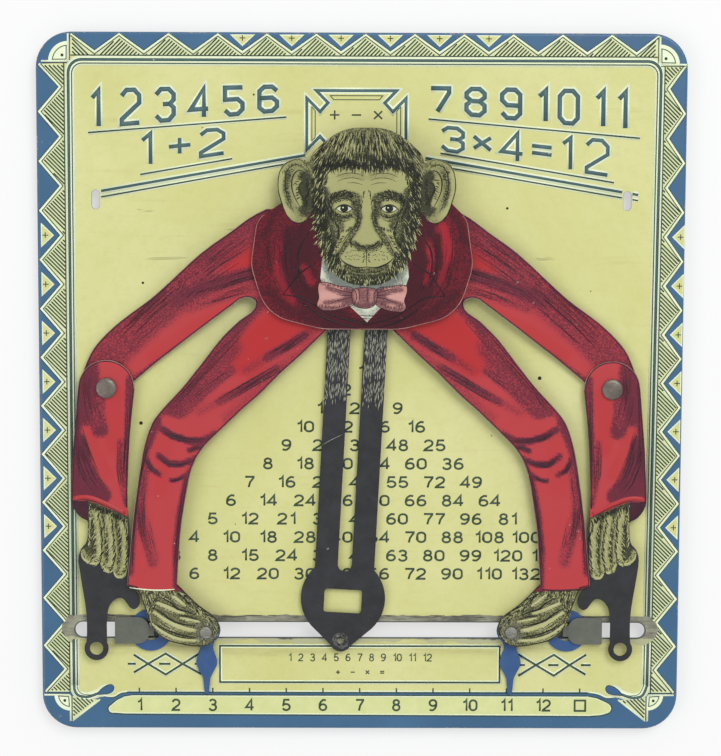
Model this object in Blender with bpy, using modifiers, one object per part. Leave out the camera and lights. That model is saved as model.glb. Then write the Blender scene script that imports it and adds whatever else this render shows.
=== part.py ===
"""Flat tin calculating toy: a printed board with two sliding feet that work a jointed figure.

The board lies flat. X runs to the right of the print, Y runs from the number line up to the
head, and Z points out of the printed face. The origin is under the middle of the board.
All sizes are in millimetres and become metres where a mesh is made.
"""
import math

import bmesh
import bpy

MM = 0.001

# Tin sheet, and the gap kept between stacked plates and round every rivet
SHEET = 0.3
GAP = 0.3

# Board with its turned rim and hem
BOARD_WIDTH = 138.0
BOARD_LENGTH = 150.0
BOARD_CORNER = 7.5
RIM_DEPTH = 3.0
RIM_BEND = 0.6
HEM_WIDTH = 2.2
SLOT_LENGTH = 123.4
SLOT_WIDTH = 3.3
SLOT_FROM_BOTTOM = 21.9
CARD_SLOT_LENGTH = 4.1
CARD_SLOT_WIDTH = 1.7
CARD_SLOT_SPACING = 113.0
CARD_SLOT_FROM_TOP = 35.3

# Linkage: a leg from neck to foot pin, an arm 45 degrees out from it with the elbow pivot at
# its end, and a forearm from the elbow to the ring hole in the hand
LEG_LENGTH = 80.3
ARM_TO_LEG = math.radians(45.0)
ARM_REACH = 57.8
FOREARM_LENGTH = 56.6
REST_CENTRE = -0.35
REST_HALF_SPREAD = 32.9

# Rivets
FOOT_SHANK_RADIUS = 0.8
FOOT_HEAD_RADIUS = 1.3
FOOT_REAR_HEAD_RADIUS = 2.1
ELBOW_SHANK_RADIUS = 1.0
ELBOW_HEAD_RADIUS = 2.2
ELBOW_REAR_HEAD_RADIUS = 1.9
NECK_SHANK_RADIUS = 1.2
NECK_FLANGE_RADIUS = 4.5
NECK_REAR_HEAD_RADIUS = 3.0
NECK_WASHER_RADIUS = 4.0
SPACER_WALL = 0.8
HEAD_DOME = 0.7
SMALL_DOME = 0.35

# Pointer plate: a drop-shaped blade under the foot pin and a ring outboard of it
RING_OFFSET = 12.1
RING_RADIUS = 4.6
RING_HOLE_RADIUS = 2.3
POINTER_BAR_WIDTH = 4.6
POINTER_HUB_RADIUS = 3.0
POINTER_BLADE = ((1.3, -3.9, 1.5), (2.5, -7.2, 2.4), (0.8, -10.5, 2.2), (0.45, -14.0, 0.4))

# Slide guide: a strip behind the board, a lug up through slot and ring, and a tab in front
LUG_WIDTH = 2.4
LUG_LENGTH = 1.6
LUG_BEYOND_RING_CENTRE = 0.8
GUIDE_BAR_WIDTH = 5.4
TAB_LENGTH = 7.4
TAB_WIDTH = 5.8
TAB_CORNER = 2.4

# Forearm with sleeve, hand, hooked tongue and ring hole
FOREARM_SWING_OUT = math.radians(2.6)
SLEEVE_TOP_RADIUS = 6.0
HAND_HOLE_RADIUS = 1.45
HAND_RING_RADIUS = 2.6

# Tail plate, measured up its middle line from the hole at its lower end
TAIL_TILT = math.radians(2.95)
TAIL_HANG = 75.5
TAIL_WIDTH = 12.8
TAIL_LENGTH = 81.5
TAIL_TOP_CORNER = 1.5
TAIL_HOLE_RADIUS = 0.8
TAIL_TIP_RADIUS = 2.4
TAIL_DISC_RADIUS = 9.1
TAIL_DISC_HEIGHT = 9.3
TAIL_SLOT_BOTTOM = 15.2
TAIL_SLOT_TOP = 78.3
WINDOW_WIDTH = 8.1
WINDOW_HEIGHT = 5.1
WINDOW_CORNER = 0.5
WINDOW_ABOVE_HOLE = 8.7

# Outline of the arm, as (share of the reach, distance to its upper side)
ARM_UPPER_EDGE = (
    (0.21, 23.6), (0.28, 23.1), (0.36, 21.8), (0.49, 19.8), (0.63, 16.6), (0.73, 14.4),
    (0.86, 12.3), (0.95, 10.2), (1.01, 8.0),
)
ARM_LOWER_EDGE = ((0.77, 1.7), (0.60, 4.7), (0.51, 6.2))
ARMPIT = ((0.42, 7.7), (0.392, 7.5), (0.370, 6.3), (0.380, 4.9), (0.402, 4.2))
ELBOW_BOSS_RADIUS = 5.9
ELBOW_BOSS_START = math.radians(48.0)
ELBOW_BOSS_STOP = math.radians(-172.0)

# Outline of the leg and foot, as (share of the leg, distance to its outer side)
LEG_OUTER_EDGE = (
    (0.198, 20.9), (0.262, 22.9), (0.346, 24.5), (0.426, 26.2), (0.497, 28.1), (0.545, 28.9),
    (0.608, 28.4), (0.666, 27.3), (0.724, 26.0), (0.801, 24.2), (0.903, 21.4), (0.970, 19.6),
)
KNEE = 5
FOOT_EDGE = (
    (0.966, 17.4), (0.999, 14.7), (1.030, 12.4), (1.053, 10.2), (1.063, 7.4), (1.058, 4.2),
    (1.048, 1.0), (1.032, -1.4), (1.006, -2.5), (0.976, -2.3), (0.953, -0.6), (0.941, 3.6),
    (0.928, 6.6), (0.915, 9.2),
)
LEG_INNER_EDGE = (
    (0.912, 9.9), (0.849, 11.8), (0.772, 14.0), (0.706, 15.5), (0.641, 16.8), (0.594, 17.3),
    (0.552, 16.9), (0.507, 15.7), (0.42, 12.9), (0.357, 10.6), (0.284, 8.4), (0.219, 6.1),
    (0.151, 3.9), (0.112, 2.7),
)
# Hidden part of the plate round the neck, in millimetres from the neck pivot
NECK_HUB = ((-2.0, -7.0), (3.5, -6.4), (7.6, -3.6), (8.2, 2.0), (5.0, 8.5), (-2.0, 14.0), (-9.5, 17.6))

# Bend that brings the elbow end of the arm down towards the board
BEND_NEAR_ELBOW = 8.0
BEND_LENGTH = 20.0
BEND_STEPS = 6

# Outline of the forearm, as (share of elbow to ring hole, distance to its outer side)
FOREARM_OUTER_EDGE = ((0.12, 6.3), (0.24, 6.6), (0.357, 6.6), (0.445, 6.5), (0.492, 4.8), (0.508, 3.1))
HAND_OUTER_EDGE = (
    (0.516, 2.8), (0.586, 2.9), (0.618, 4.1), (0.660, 4.6), (0.742, 3.8), (0.819, 2.9),
    (0.877, 2.4), (0.935, 2.2),
)
HAND_RING_START = math.radians(122.0)
HAND_RING_STOP = math.radians(-122.0)
HAND_INNER_EDGE = (
    (0.935, -2.1), (0.893, -2.0), (0.846, -2.2), (0.820, -2.9), (0.803, -4.0), (0.802, -5.2),
    (0.819, -6.1), (0.836, -6.9), (0.841, -7.9), (0.825, -8.8), (0.797, -8.8), (0.771, -7.9),
    (0.733, -6.5), (0.655, -6.3), (0.539, -6.1), (0.489, -5.8),
)
FOREARM_INNER_EDGE = ((0.489, -5.8), (0.424, -5.4), (0.308, -5.3), (0.16, -5.4))

# Half outline of the head and chest plate, from the crown down to the middle of the chest,
# as (across, above the neck pivot, corner radius). The head's middle lies a little further
# to the right of the pivot than the chest's.
HEAD_AND_CHEST = (
    (5.4, 34.8, 10.0), (11.6, 29.4, 5.0), (12.1, 27.3, 0.4), (14.3, 28.6, 2.0), (17.9, 27.2, 2.5),
    (19.1, 22.4, 4.0), (17.9, 19.0, 0.5), (22.2, 15.6, 4.0), (23.6, 5.8, 9.0), (20.3, -4.7, 9.0),
    (8.5, -7.7, 16.0),
)
SHOULDER_HEIGHT = 17.0
HEAD_TO_RIGHT = 1.4
CHEST_TO_RIGHT = 0.45

# Smoothness of round stretches
SPLINE_STEPS = 3
ARC_ERROR = 0.02
FINEST_ARC_STEP = math.radians(6.0)
COARSEST_ARC_STEP = math.radians(30.0)
TURN_STEPS = 20
RIM_BEND_STEPS = 3

board_face = RIM_DEPTH
slot_y = SLOT_FROM_BOTTOM - BOARD_LENGTH / 2
neck_height = math.sqrt(LEG_LENGTH ** 2 - REST_HALF_SPREAD ** 2)
neck = (REST_CENTRE, slot_y + neck_height)


def layer(number):
    """Underside height of a plate in the stack in front of the board, counted from 0."""
    return board_face + GAP + number * (SHEET + GAP)


def rear_layer(number):
    """Underside height of a plate in the stack behind the board, counted from 0."""
    return board_face - SHEET - (number + 1) * (SHEET + GAP)


POINTER_LAYER = layer(0)
TAIL_LAYER = layer(1)
ELBOW_LAYER = layer(1)
FOREARM_LAYER = layer(2)
RIGHT_LIMB_LAYER = layer(3)
LEFT_LIMB_LAYER = layer(4)
NECK_FLANGE_LAYER = layer(5)
HEAD_LAYER = layer(6)
GUIDE_BAR_LAYER = rear_layer(0)
REAR_HEAD_HEIGHT = rear_layer(1)


def clear_scene():
    """Remove everything a new file starts with."""
    for thing in list(bpy.data.objects):
        bpy.data.objects.remove(thing, do_unlink=True)


def new_collection(name):
    """Add a collection to the scene."""
    made = bpy.data.collections.new(name)
    bpy.context.scene.collection.children.link(made)
    return made


clear_scene()
parts = new_collection("tin_calculator_toy")
cutters = new_collection("cutters")


def paint(name, colour, roughness, metallic):
    """Principled material with the part's own colour."""
    material = bpy.data.materials.new(name)
    material.use_nodes = True
    shader = material.node_tree.nodes["Principled BSDF"]
    shader.inputs["Base Color"].default_value = (*colour, 1.0)
    shader.inputs["Roughness"].default_value = roughness
    shader.inputs["Metallic"].default_value = metallic
    material.diffuse_color = (*colour, 1.0)
    return material


def arc(centre, radius, start, stop):
    """Points on a round stretch from one angle to another."""
    step_angle = 2 * math.acos(max(0.5, 1 - ARC_ERROR / radius))
    step_angle = min(max(step_angle, FINEST_ARC_STEP), COARSEST_ARC_STEP)
    count = max(2, math.ceil(abs(stop - start) / step_angle))
    angles = [start + (stop - start) * step / count for step in range(count + 1)]
    return [(centre[0] + radius * math.cos(a), centre[1] + radius * math.sin(a)) for a in angles]


def circle(centre, radius):
    """Closed round loop."""
    return arc(centre, radius, 0.0, 2 * math.pi)[:-1]


def smooth(points):
    """Points on a curve that passes through each given point."""
    ends = [points[0], *points, points[-1]]
    result = []
    for before, start, stop, after in zip(ends, ends[1:], ends[2:], ends[3:]):
        for step in range(SPLINE_STEPS):
            t = step / SPLINE_STEPS
            result.append(tuple(
                0.5 * (2 * b + (c - a) * t + (2 * a - 5 * b + 4 * c - d) * t ** 2
                       + (3 * b - a - 3 * c + d) * t ** 3)
                for a, b, c, d in zip(before, start, stop, after)))
    return result + [points[-1]]


def rounded(corners, closed=True):
    """Outline from (x, y, radius) corners, each rounded by an arc unless its radius is 0."""
    result = []
    for index, (x, y, radius) in enumerate(corners):
        if radius == 0 or (not closed and index in (0, len(corners) - 1)):
            result.append((x, y))
            continue
        before = corners[index - 1]
        after = corners[(index + 1) % len(corners)]
        to_before = (before[0] - x, before[1] - y)
        to_after = (after[0] - x, after[1] - y)
        angle_in = math.atan2(to_before[1], to_before[0])
        angle_out = math.atan2(to_after[1], to_after[0])
        turn = (angle_out - angle_in + math.pi) % (2 * math.pi) - math.pi
        half = abs(turn) / 2
        reach = min(radius / math.tan(half), 0.49 * min(math.hypot(*to_before), math.hypot(*to_after)))
        bend = reach * math.tan(half)
        middle = angle_in + turn / 2
        distance = bend / math.sin(half)
        centre = (x + distance * math.cos(middle), y + distance * math.sin(middle))
        side = math.copysign(1.0, turn)
        start = angle_in - side * math.pi / 2
        stop = start - side * (math.pi - 2 * half)
        result.extend(arc(centre, bend, start, stop))
    return result


def rounded_rectangle(centre, width, height, radius):
    """Closed outline of a rectangle with round corners."""
    x, y = centre
    return rounded([
        (x + width / 2, y + height / 2, radius), (x - width / 2, y + height / 2, radius),
        (x - width / 2, y - height / 2, radius), (x + width / 2, y - height / 2, radius),
    ])


def mirror_half(half_corners):
    """Corners of a whole outline from those of its right half."""
    return [*half_corners, *[(-x, y, radius) for x, y, radius in reversed(half_corners)]]


def limb_frame(start, end):
    """Function that places a (share of the limb, distance to its outer side) pair."""
    length = math.dist(start, end)
    along = ((end[0] - start[0]) / length, (end[1] - start[1]) / length)

    def place(share, outward):
        run = share * length
        return (start[0] + run * along[0] + outward * along[1],
                start[1] + run * along[1] - outward * along[0])
    return place


def flip(points, side):
    """Mirror a left-hand outline for the right-hand side, where side is 1."""
    return [(-side * x, y) for x, y in points]


def mesh_object(name, mesh, origin, material, collection):
    """Object for a finished mesh, with its origin at the given point in millimetres."""
    made = bpy.data.objects.new(name, mesh)
    made.location = [value * MM for value in origin]
    mesh.materials.clear()
    if material:
        mesh.materials.append(material)
    collection.objects.link(made)
    return made


def flat_plate(name, loops, underside, thickness, origin, material, collection=None):
    """Flat plate from closed loops: the first is its edge and the others are holes in it."""
    curve = bpy.data.curves.new(name + "_outline", "CURVE")
    curve.dimensions = "2D"
    curve.fill_mode = "BOTH"
    curve.extrude = thickness * MM / 2
    for loop in loops:
        spline = curve.splines.new("POLY")
        spline.points.add(len(loop) - 1)
        for point, (x, y) in zip(spline.points, loop):
            point.co = ((x - origin[0]) * MM, (y - origin[1]) * MM, 0.0, 1.0)
        spline.use_cyclic_u = True
    outline = bpy.data.objects.new(name + "_outline", curve)
    bpy.context.scene.collection.objects.link(outline)
    evaluated = outline.evaluated_get(bpy.context.evaluated_depsgraph_get())
    mesh = bpy.data.meshes.new_from_object(evaluated)
    bpy.data.objects.remove(outline, do_unlink=True)
    shape = bmesh.new()
    shape.from_mesh(mesh)
    bmesh.ops.remove_doubles(shape, verts=shape.verts, dist=0.002 * MM)
    bmesh.ops.recalc_face_normals(shape, faces=shape.faces)
    shape.to_mesh(mesh)
    shape.free()
    mesh.name = name
    height = underside + thickness / 2
    return mesh_object(name, mesh, (origin[0], origin[1], height), material, collection or parts)


def turned(name, profile, origin, material, closed=False):
    """Turned piece: the profile is (radius, height) pairs that run down its outer side."""
    mesh = bpy.data.meshes.new(name)
    shape = bmesh.new()
    points = [shape.verts.new((radius * MM, 0.0, height * MM)) for radius, height in profile]
    for start, stop in zip(points, points[1:]):
        shape.edges.new((start, stop))
    if closed:
        shape.edges.new((points[-1], points[0]))
    shape.to_mesh(mesh)
    shape.free()
    made = mesh_object(name, mesh, (origin[0], origin[1], 0.0), material, parts)
    screw = made.modifiers.new("turn", "SCREW")
    screw.steps = TURN_STEPS
    screw.render_steps = TURN_STEPS
    screw.use_merge_vertices = True
    screw.merge_threshold = 0.01 * MM
    screw.use_smooth_shade = True
    return made


def rivet(name, origin, shank, front, rear, material):
    """Rivet with a domed front head and a flat rear head, each (radius, inner, outer height)."""
    front_radius, front_inner, front_outer = front
    rear_radius, rear_inner, rear_outer = rear
    crown = front_outer - front_inner
    dome = []
    for step in range(5):
        angle = math.pi / 2 * step / 4
        dome.append((front_radius * math.sin(angle), front_inner + crown * (0.35 + 0.65 * math.cos(angle))))
    profile = [*dome, (front_radius, front_inner), (shank, front_inner), (shank, rear_inner),
               (rear_radius, rear_inner), (rear_radius, rear_outer), (0.0, rear_outer)]
    return turned(name, profile, origin, material)


def washer(name, origin, hole, outer, underside, topside, material):
    """Flat ring round a rivet."""
    profile = [(outer, topside), (outer, underside), (hole, underside), (hole, topside)]
    return turned(name, profile, origin, material, closed=True)


def join_to(base, other):
    """Unite a guide shape with a part by an exact Boolean."""
    other.hide_render = True
    other.display_type = "WIRE"
    union = base.modifiers.new(other.name, "BOOLEAN")
    union.operation = "UNION"
    union.solver = "EXACT"
    union.object = other


def cut_from(base, other):
    """Cut a guide shape out of a part by an exact Boolean."""
    other.hide_render = True
    other.display_type = "WIRE"
    cut = base.modifiers.new(other.name, "BOOLEAN")
    cut.operation = "DIFFERENCE"
    cut.solver = "EXACT"
    cut.object = other


printed_tin = paint("printed_tin", (0.68, 0.68, 0.34), 0.4, 0.0)
blue_tin = paint("blue_tin", (0.04, 0.12, 0.32), 0.4, 0.0)
grey_tin = paint("grey_tin", (0.12, 0.13, 0.10), 0.45, 0.0)
red_tin = paint("red_tin", (0.55, 0.04, 0.05), 0.4, 0.0)
dark_red_tin = paint("dark_red_tin", (0.22, 0.02, 0.05), 0.4, 0.0)
black_tin = paint("black_tin", (0.04, 0.04, 0.05), 0.4, 0.0)
bare_steel = paint("bare_steel", (0.32, 0.30, 0.28), 0.4, 0.9)


def make_board():
    """Printed board: a pressed sheet with a turned rim and hem, cut by its slots."""
    shape = bmesh.new()
    outline = rounded_rectangle((0.0, 0.0), BOARD_WIDTH, BOARD_LENGTH, BOARD_CORNER)
    underside = shape.faces.new([shape.verts.new((x * MM, y * MM, 0.0)) for x, y in outline])
    raised = bmesh.ops.extrude_face_region(shape, geom=[underside])["geom"]
    bmesh.ops.translate(shape, verts=[part for part in raised if isinstance(part, bmesh.types.BMVert)],
                        vec=(0.0, 0.0, board_face * MM))
    bmesh.ops.recalc_face_normals(shape, faces=shape.faces)
    turned_edges = [edge for edge in shape.edges if edge.verts[0].co.z == edge.verts[1].co.z]
    bmesh.ops.bevel(shape, geom=turned_edges, offset=RIM_BEND * MM, segments=RIM_BEND_STEPS,
                    profile=0.5, affect="EDGES", material=-1)
    lowest = min(shape.faces, key=lambda face: (face.calc_center_median().z, -face.calc_area()))
    bmesh.ops.inset_region(shape, faces=[lowest], thickness=(HEM_WIDTH - RIM_BEND) * MM)
    bmesh.ops.delete(shape, geom=[lowest], context="FACES")
    mesh = bpy.data.meshes.new("base_board")
    shape.to_mesh(mesh)
    shape.free()
    board = mesh_object("base_board", mesh, (0.0, 0.0, 0.0), printed_tin, parts)
    shell = board.modifiers.new("sheet", "SOLIDIFY")
    shell.thickness = SHEET * MM
    shell.offset = -1.0
    shell.use_even_offset = True
    openings = {"foot_slot": rounded_rectangle((0.0, slot_y), SLOT_LENGTH, SLOT_WIDTH, SLOT_WIDTH / 2)}
    card_slot_y = BOARD_LENGTH / 2 - CARD_SLOT_FROM_TOP
    for side in (-1, 1):
        centre = (side * CARD_SLOT_SPACING / 2, card_slot_y)
        openings["card_slot_%d" % side] = rounded_rectangle(centre, CARD_SLOT_WIDTH, CARD_SLOT_LENGTH,
                                                            CARD_SLOT_WIDTH / 2)
    for name, loop in openings.items():
        depth = 3 * SHEET
        cutter = flat_plate(name, [loop], board_face - 2 * SHEET, depth, (0.0, 0.0), None, cutters)
        cut_from(board, cutter)


def make_pointer(prefix, side, pin):
    """Pointer plate: hub round the pin, blade down to the number line, bar and ring outboard."""
    ring = (-RING_OFFSET, 0.0)
    half_bar = POINTER_BAR_WIDTH / 2
    ring_angle = math.asin(half_bar / RING_RADIUS)
    hub_angle = math.asin(min(half_bar, POINTER_HUB_RADIUS) / POINTER_HUB_RADIUS)
    blade_top = math.radians(35.0)
    start = (-POINTER_HUB_RADIUS * math.sin(blade_top), -POINTER_HUB_RADIUS * math.cos(blade_top), 0.0)
    stop = (-start[0], start[1], 0.0)
    left_half = [(-x, y, radius) for x, y, radius in POINTER_BLADE]
    blade = rounded([start, *left_half, *reversed(POINTER_BLADE), stop], closed=False)
    outline = [
        *arc(ring, RING_RADIUS, ring_angle, 2 * math.pi - ring_angle),
        *arc((0.0, 0.0), POINTER_HUB_RADIUS, math.pi + hub_angle, math.pi * 1.5 - blade_top)[:-1],
        *blade,
        *arc((0.0, 0.0), POINTER_HUB_RADIUS, -math.pi / 2 + blade_top, math.pi - hub_angle)[1:],
    ]
    holes = [circle(ring, RING_HOLE_RADIUS), circle((0.0, 0.0), FOOT_SHANK_RADIUS + GAP)]
    loops = [[(pin[0] + x, pin[1] + y) for x, y in flip(loop, side)] for loop in (outline, *holes)]
    flat_plate(prefix + "_pointer_plate", loops, POINTER_LAYER, SHEET, pin, blue_tin)


def make_guide(prefix, side, pin):
    """Slide guide: one strip of tin, behind the board, up through the slot and out over it."""
    lug_end = -RING_OFFSET + LUG_BEYOND_RING_CENTRE
    lug_start = lug_end - LUG_LENGTH
    tab_end = lug_start + LUG_LENGTH / 3
    half_bar = GUIDE_BAR_WIDTH / 2
    bar = [*arc((0.0, 0.0), half_bar, -math.pi / 2, math.pi / 2),
           *arc((lug_start, 0.0), half_bar, math.pi / 2, math.pi * 1.5)]
    hole = circle((0.0, 0.0), FOOT_SHANK_RADIUS + GAP)
    lug = rounded_rectangle(((lug_start + lug_end) / 2, 0.0), LUG_LENGTH, LUG_WIDTH, 0.0)
    half_tab = TAB_WIDTH / 2
    tab = rounded([(tab_end, half_tab, TAB_CORNER), (tab_end - TAB_LENGTH, half_tab, SHEET),
                   (tab_end - TAB_LENGTH, -half_tab, SHEET), (tab_end, -half_tab, TAB_CORNER)])

    def place(loop):
        return [(pin[0] + x, pin[1] + y) for x, y in flip(loop, side)]
    guide = flat_plate(prefix + "_slide_guide", [place(bar), place(hole)], GUIDE_BAR_LAYER, SHEET, pin,
                       grey_tin)
    lug_low = GUIDE_BAR_LAYER + SHEET / 3
    lug_high = layer(1) + SHEET * 2 / 3
    join_to(guide, flat_plate(prefix + "_lug", [place(lug)], lug_low, lug_high - lug_low, pin, None,
                              cutters))
    join_to(guide, flat_plate(prefix + "_tab", [place(tab)], layer(1), SHEET, pin, None, cutters))


def limb_outline(side, foot, elbow):
    """Edge of an arm and leg plate: hub, arm, armpit, leg and foot."""
    on_arm = limb_frame((0.0, 0.0), elbow)
    on_leg = limb_frame((0.0, 0.0), foot)
    reach = math.hypot(*elbow)
    boss = [on_arm(1 + x / reach, y)
            for x, y in arc((0.0, 0.0), ELBOW_BOSS_RADIUS, ELBOW_BOSS_START, ELBOW_BOSS_STOP)]
    outline = [
        *smooth([*[on_arm(*pair) for pair in ARM_UPPER_EDGE], boss[0]])[:-1],
        *boss[:-1],
        *smooth([boss[-1], *[on_arm(*pair) for pair in ARM_LOWER_EDGE]])[:-1],
        *smooth([on_arm(*pair) for pair in ARMPIT]),
        *smooth([on_leg(*pair) for pair in LEG_OUTER_EDGE]),
        *smooth([on_leg(*pair) for pair in FOOT_EDGE]),
        *smooth([on_leg(*pair) for pair in LEG_INNER_EDGE]),
        *smooth(NECK_HUB),
    ]
    return flip(outline, side)


def bend_arm(limb, side, foot, elbow, origin, drop):
    """Bend the arm down so that its elbow end lies nearer the board than its shoulder.

    The line down the middle of the gap between arm and leg, from the armpit to halfway between
    elbow and knee, tells the points of the arm from those of the leg.
    """
    reach = math.hypot(*elbow)
    along = (elbow[0] / reach, elbow[1] / reach)
    armpit = limb_frame((0.0, 0.0), elbow)(*ARMPIT[len(ARMPIT) // 2])
    under_elbow = limb_frame((0.0, 0.0), elbow)(1.0, -ELBOW_BOSS_RADIUS)
    knee = limb_frame((0.0, 0.0), foot)(*LEG_OUTER_EDGE[KNEE])
    gap_end = ((under_elbow[0] + knee[0]) / 2, (under_elbow[1] + knee[1]) / 2)
    bend_start = reach - BEND_NEAR_ELBOW - BEND_LENGTH
    offset = (neck[0] - origin[0], neck[1] - origin[1])

    shape = bmesh.new()
    shape.from_mesh(limb.data)
    for step in range(BEND_STEPS + 1):
        run = bend_start + BEND_LENGTH * step / BEND_STEPS
        point = ((offset[0] - side * run * along[0]) * MM, (offset[1] + run * along[1]) * MM, 0.0)
        bmesh.ops.bisect_plane(shape, geom=shape.verts[:] + shape.edges[:] + shape.faces[:],
                               plane_co=point, plane_no=(-side * along[0], along[1], 0.0))
    for vert in shape.verts:
        x = -side * (vert.co.x / MM - offset[0])
        y = vert.co.y / MM - offset[1]
        run = x * along[0] + y * along[1]
        over_gap = ((gap_end[0] - armpit[0]) * (y - armpit[1])
                    - (gap_end[1] - armpit[1]) * (x - armpit[0]))
        if run < bend_start or over_gap > 0:
            continue
        share = min(1.0, (run - bend_start) / BEND_LENGTH)
        vert.co.z -= drop * MM * share ** 2 * (3 - 2 * share)
    shape.to_mesh(limb.data)
    shape.free()


def make_side(prefix, side, limb_layer):
    """All the pieces of one side: slider, leg, arm and forearm with their rivets."""
    pin = (REST_CENTRE + side * REST_HALF_SPREAD, slot_y)
    make_pointer(prefix, side, pin)
    make_guide(prefix, side, pin)

    foot = (-REST_HALF_SPREAD, -neck_height)
    leg_angle = math.atan2(foot[1], foot[0])
    elbow = (ARM_REACH * math.cos(leg_angle - ARM_TO_LEG), ARM_REACH * math.sin(leg_angle - ARM_TO_LEG))
    side_elbow = (-side * elbow[0], elbow[1])
    elbow_point = (neck[0] + side_elbow[0], neck[1] + side_elbow[1])

    edge = limb_outline(side, foot, elbow)
    loops = [
        [(neck[0] + x, neck[1] + y) for x, y in edge],
        circle(neck, NECK_SHANK_RADIUS + GAP),
        circle(elbow_point, ELBOW_SHANK_RADIUS + GAP),
        circle(pin, FOOT_SHANK_RADIUS + GAP),
    ]
    hinge = pin if side < 0 else neck
    limb = flat_plate(prefix + "_arm_leg_plate", loops, limb_layer, SHEET, hinge, red_tin)
    bend_arm(limb, side, foot, elbow, hinge, limb_layer - ELBOW_LAYER)

    spacer_hole = FOOT_SHANK_RADIUS + GAP
    washer(prefix + "_foot_spacer", pin, spacer_hole, spacer_hole + SPACER_WALL, layer(1),
           limb_layer - GAP, bare_steel)
    foot_top = limb_layer + SHEET + GAP
    rear_head_top = GUIDE_BAR_LAYER - GAP
    rivet(prefix + "_foot_rivet", pin, FOOT_SHANK_RADIUS,
          (FOOT_HEAD_RADIUS, foot_top, foot_top + SMALL_DOME),
          (FOOT_REAR_HEAD_RADIUS, rear_head_top, REAR_HEAD_HEIGHT), bare_steel)
    make_forearm(prefix, side, elbow_point)


def make_forearm(prefix, side, elbow_point):
    """Forearm plate with its sleeve, hand and ring, and the rivet it swings on."""
    angle = FOREARM_SWING_OUT
    hole = (-FOREARM_LENGTH * math.sin(angle), -FOREARM_LENGTH * math.cos(angle))
    on_forearm = limb_frame((0.0, 0.0), hole)
    cap = [on_forearm(x / FOREARM_LENGTH, y)
           for x, y in arc((0.0, 0.0), SLEEVE_TOP_RADIUS, -math.pi / 2, -math.pi * 1.5)]
    ring = [on_forearm(1 + x / FOREARM_LENGTH, y)
            for x, y in arc((0.0, 0.0), HAND_RING_RADIUS, HAND_RING_START, HAND_RING_STOP)]
    outline = [
        *cap[:-1],
        *smooth([cap[-1], *[on_forearm(*pair) for pair in FOREARM_OUTER_EDGE]]),
        *smooth([*[on_forearm(*pair) for pair in HAND_OUTER_EDGE], ring[0]])[:-1],
        *ring[:-1],
        *smooth([ring[-1], *[on_forearm(*pair) for pair in HAND_INNER_EDGE]])[:-1],
        *smooth([*[on_forearm(*pair) for pair in FOREARM_INNER_EDGE], cap[0]])[:-1],
    ]
    holes = [circle((0.0, 0.0), ELBOW_SHANK_RADIUS + GAP), circle(hole, HAND_HOLE_RADIUS)]
    loops = [[(elbow_point[0] + x, elbow_point[1] + y) for x, y in flip(loop, side)]
             for loop in (outline, *holes)]
    flat_plate(prefix + "_forearm_plate", loops, FOREARM_LAYER, SHEET, elbow_point, red_tin)
    head_inner = FOREARM_LAYER + SHEET + GAP
    rear_inner = ELBOW_LAYER - GAP
    rivet(prefix + "_elbow_rivet", elbow_point, ELBOW_SHANK_RADIUS,
          (ELBOW_HEAD_RADIUS, head_inner, head_inner + HEAD_DOME),
          (ELBOW_REAR_HEAD_RADIUS, rear_inner, rear_inner - SHEET), bare_steel)


def make_tail():
    """Tail plate: a slotted bar that slides on the neck rivet, with a window near its lower end."""
    half_width = TAIL_WIDTH / 2
    disc = (0.0, TAIL_DISC_HEIGHT)
    disc_top = math.acos(half_width / TAIL_DISC_RADIUS)
    disc_bottom = -math.radians(52.0)
    corner = TAIL_TOP_CORNER
    corner_y = TAIL_LENGTH - corner
    right = [
        *arc((0.0, 0.0), TAIL_TIP_RADIUS, -math.pi / 2, -math.radians(25.0)),
        *arc(disc, TAIL_DISC_RADIUS, disc_bottom, disc_top),
        *arc((half_width - corner, corner_y), corner, 0.0, math.pi / 2),
    ]
    edge = [*right, *[(-x, y) for x, y in reversed(right[1:])]]
    slot_width = 2 * (NECK_SHANK_RADIUS + GAP)
    slot_middle = (TAIL_SLOT_BOTTOM + TAIL_SLOT_TOP) / 2
    loops = [
        edge,
        rounded_rectangle((0.0, slot_middle), slot_width, TAIL_SLOT_TOP - TAIL_SLOT_BOTTOM,
                          slot_width / 2),
        rounded_rectangle((0.0, WINDOW_ABOVE_HOLE), WINDOW_WIDTH, WINDOW_HEIGHT, WINDOW_CORNER),
        circle((0.0, 0.0), TAIL_HOLE_RADIUS),
    ]
    loops = [[(neck[0] + x, neck[1] + y - TAIL_HANG) for x, y in loop] for loop in loops]
    tail = flat_plate("tail_window_plate", loops, TAIL_LAYER, SHEET, neck, black_tin)
    tail.rotation_euler.z = -TAIL_TILT


def make_neck():
    """Neck rivet, its washer and the head and chest plate that it carries."""
    washer("neck_washer", neck, NECK_SHANK_RADIUS + GAP, NECK_WASHER_RADIUS, layer(2),
           layer(2) + SHEET, bare_steel)
    profile = [
        (0.0, NECK_FLANGE_LAYER + SHEET), (NECK_FLANGE_RADIUS, NECK_FLANGE_LAYER + SHEET),
        (NECK_FLANGE_RADIUS, NECK_FLANGE_LAYER), (NECK_SHANK_RADIUS, NECK_FLANGE_LAYER),
        (NECK_SHANK_RADIUS, layer(0) + SHEET), (NECK_REAR_HEAD_RADIUS, layer(0) + SHEET),
        (NECK_REAR_HEAD_RADIUS, layer(0)), (0.0, layer(0)),
    ]
    turned("neck_rivet", profile, neck, bare_steel)
    corners = [
        (neck[0] + x + (HEAD_TO_RIGHT if y > SHOULDER_HEIGHT else CHEST_TO_RIGHT), neck[1] + y, radius)
        for x, y, radius in mirror_half(HEAD_AND_CHEST)
    ]
    edge = rounded(corners)
    flat_plate("head_chest_plate", [edge], HEAD_LAYER, SHEET, neck, dark_red_tin)


make_board()
make_side("left", -1, LEFT_LIMB_LAYER)
make_side("right", 1, RIGHT_LIMB_LAYER)
make_tail()
make_neck()
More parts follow.
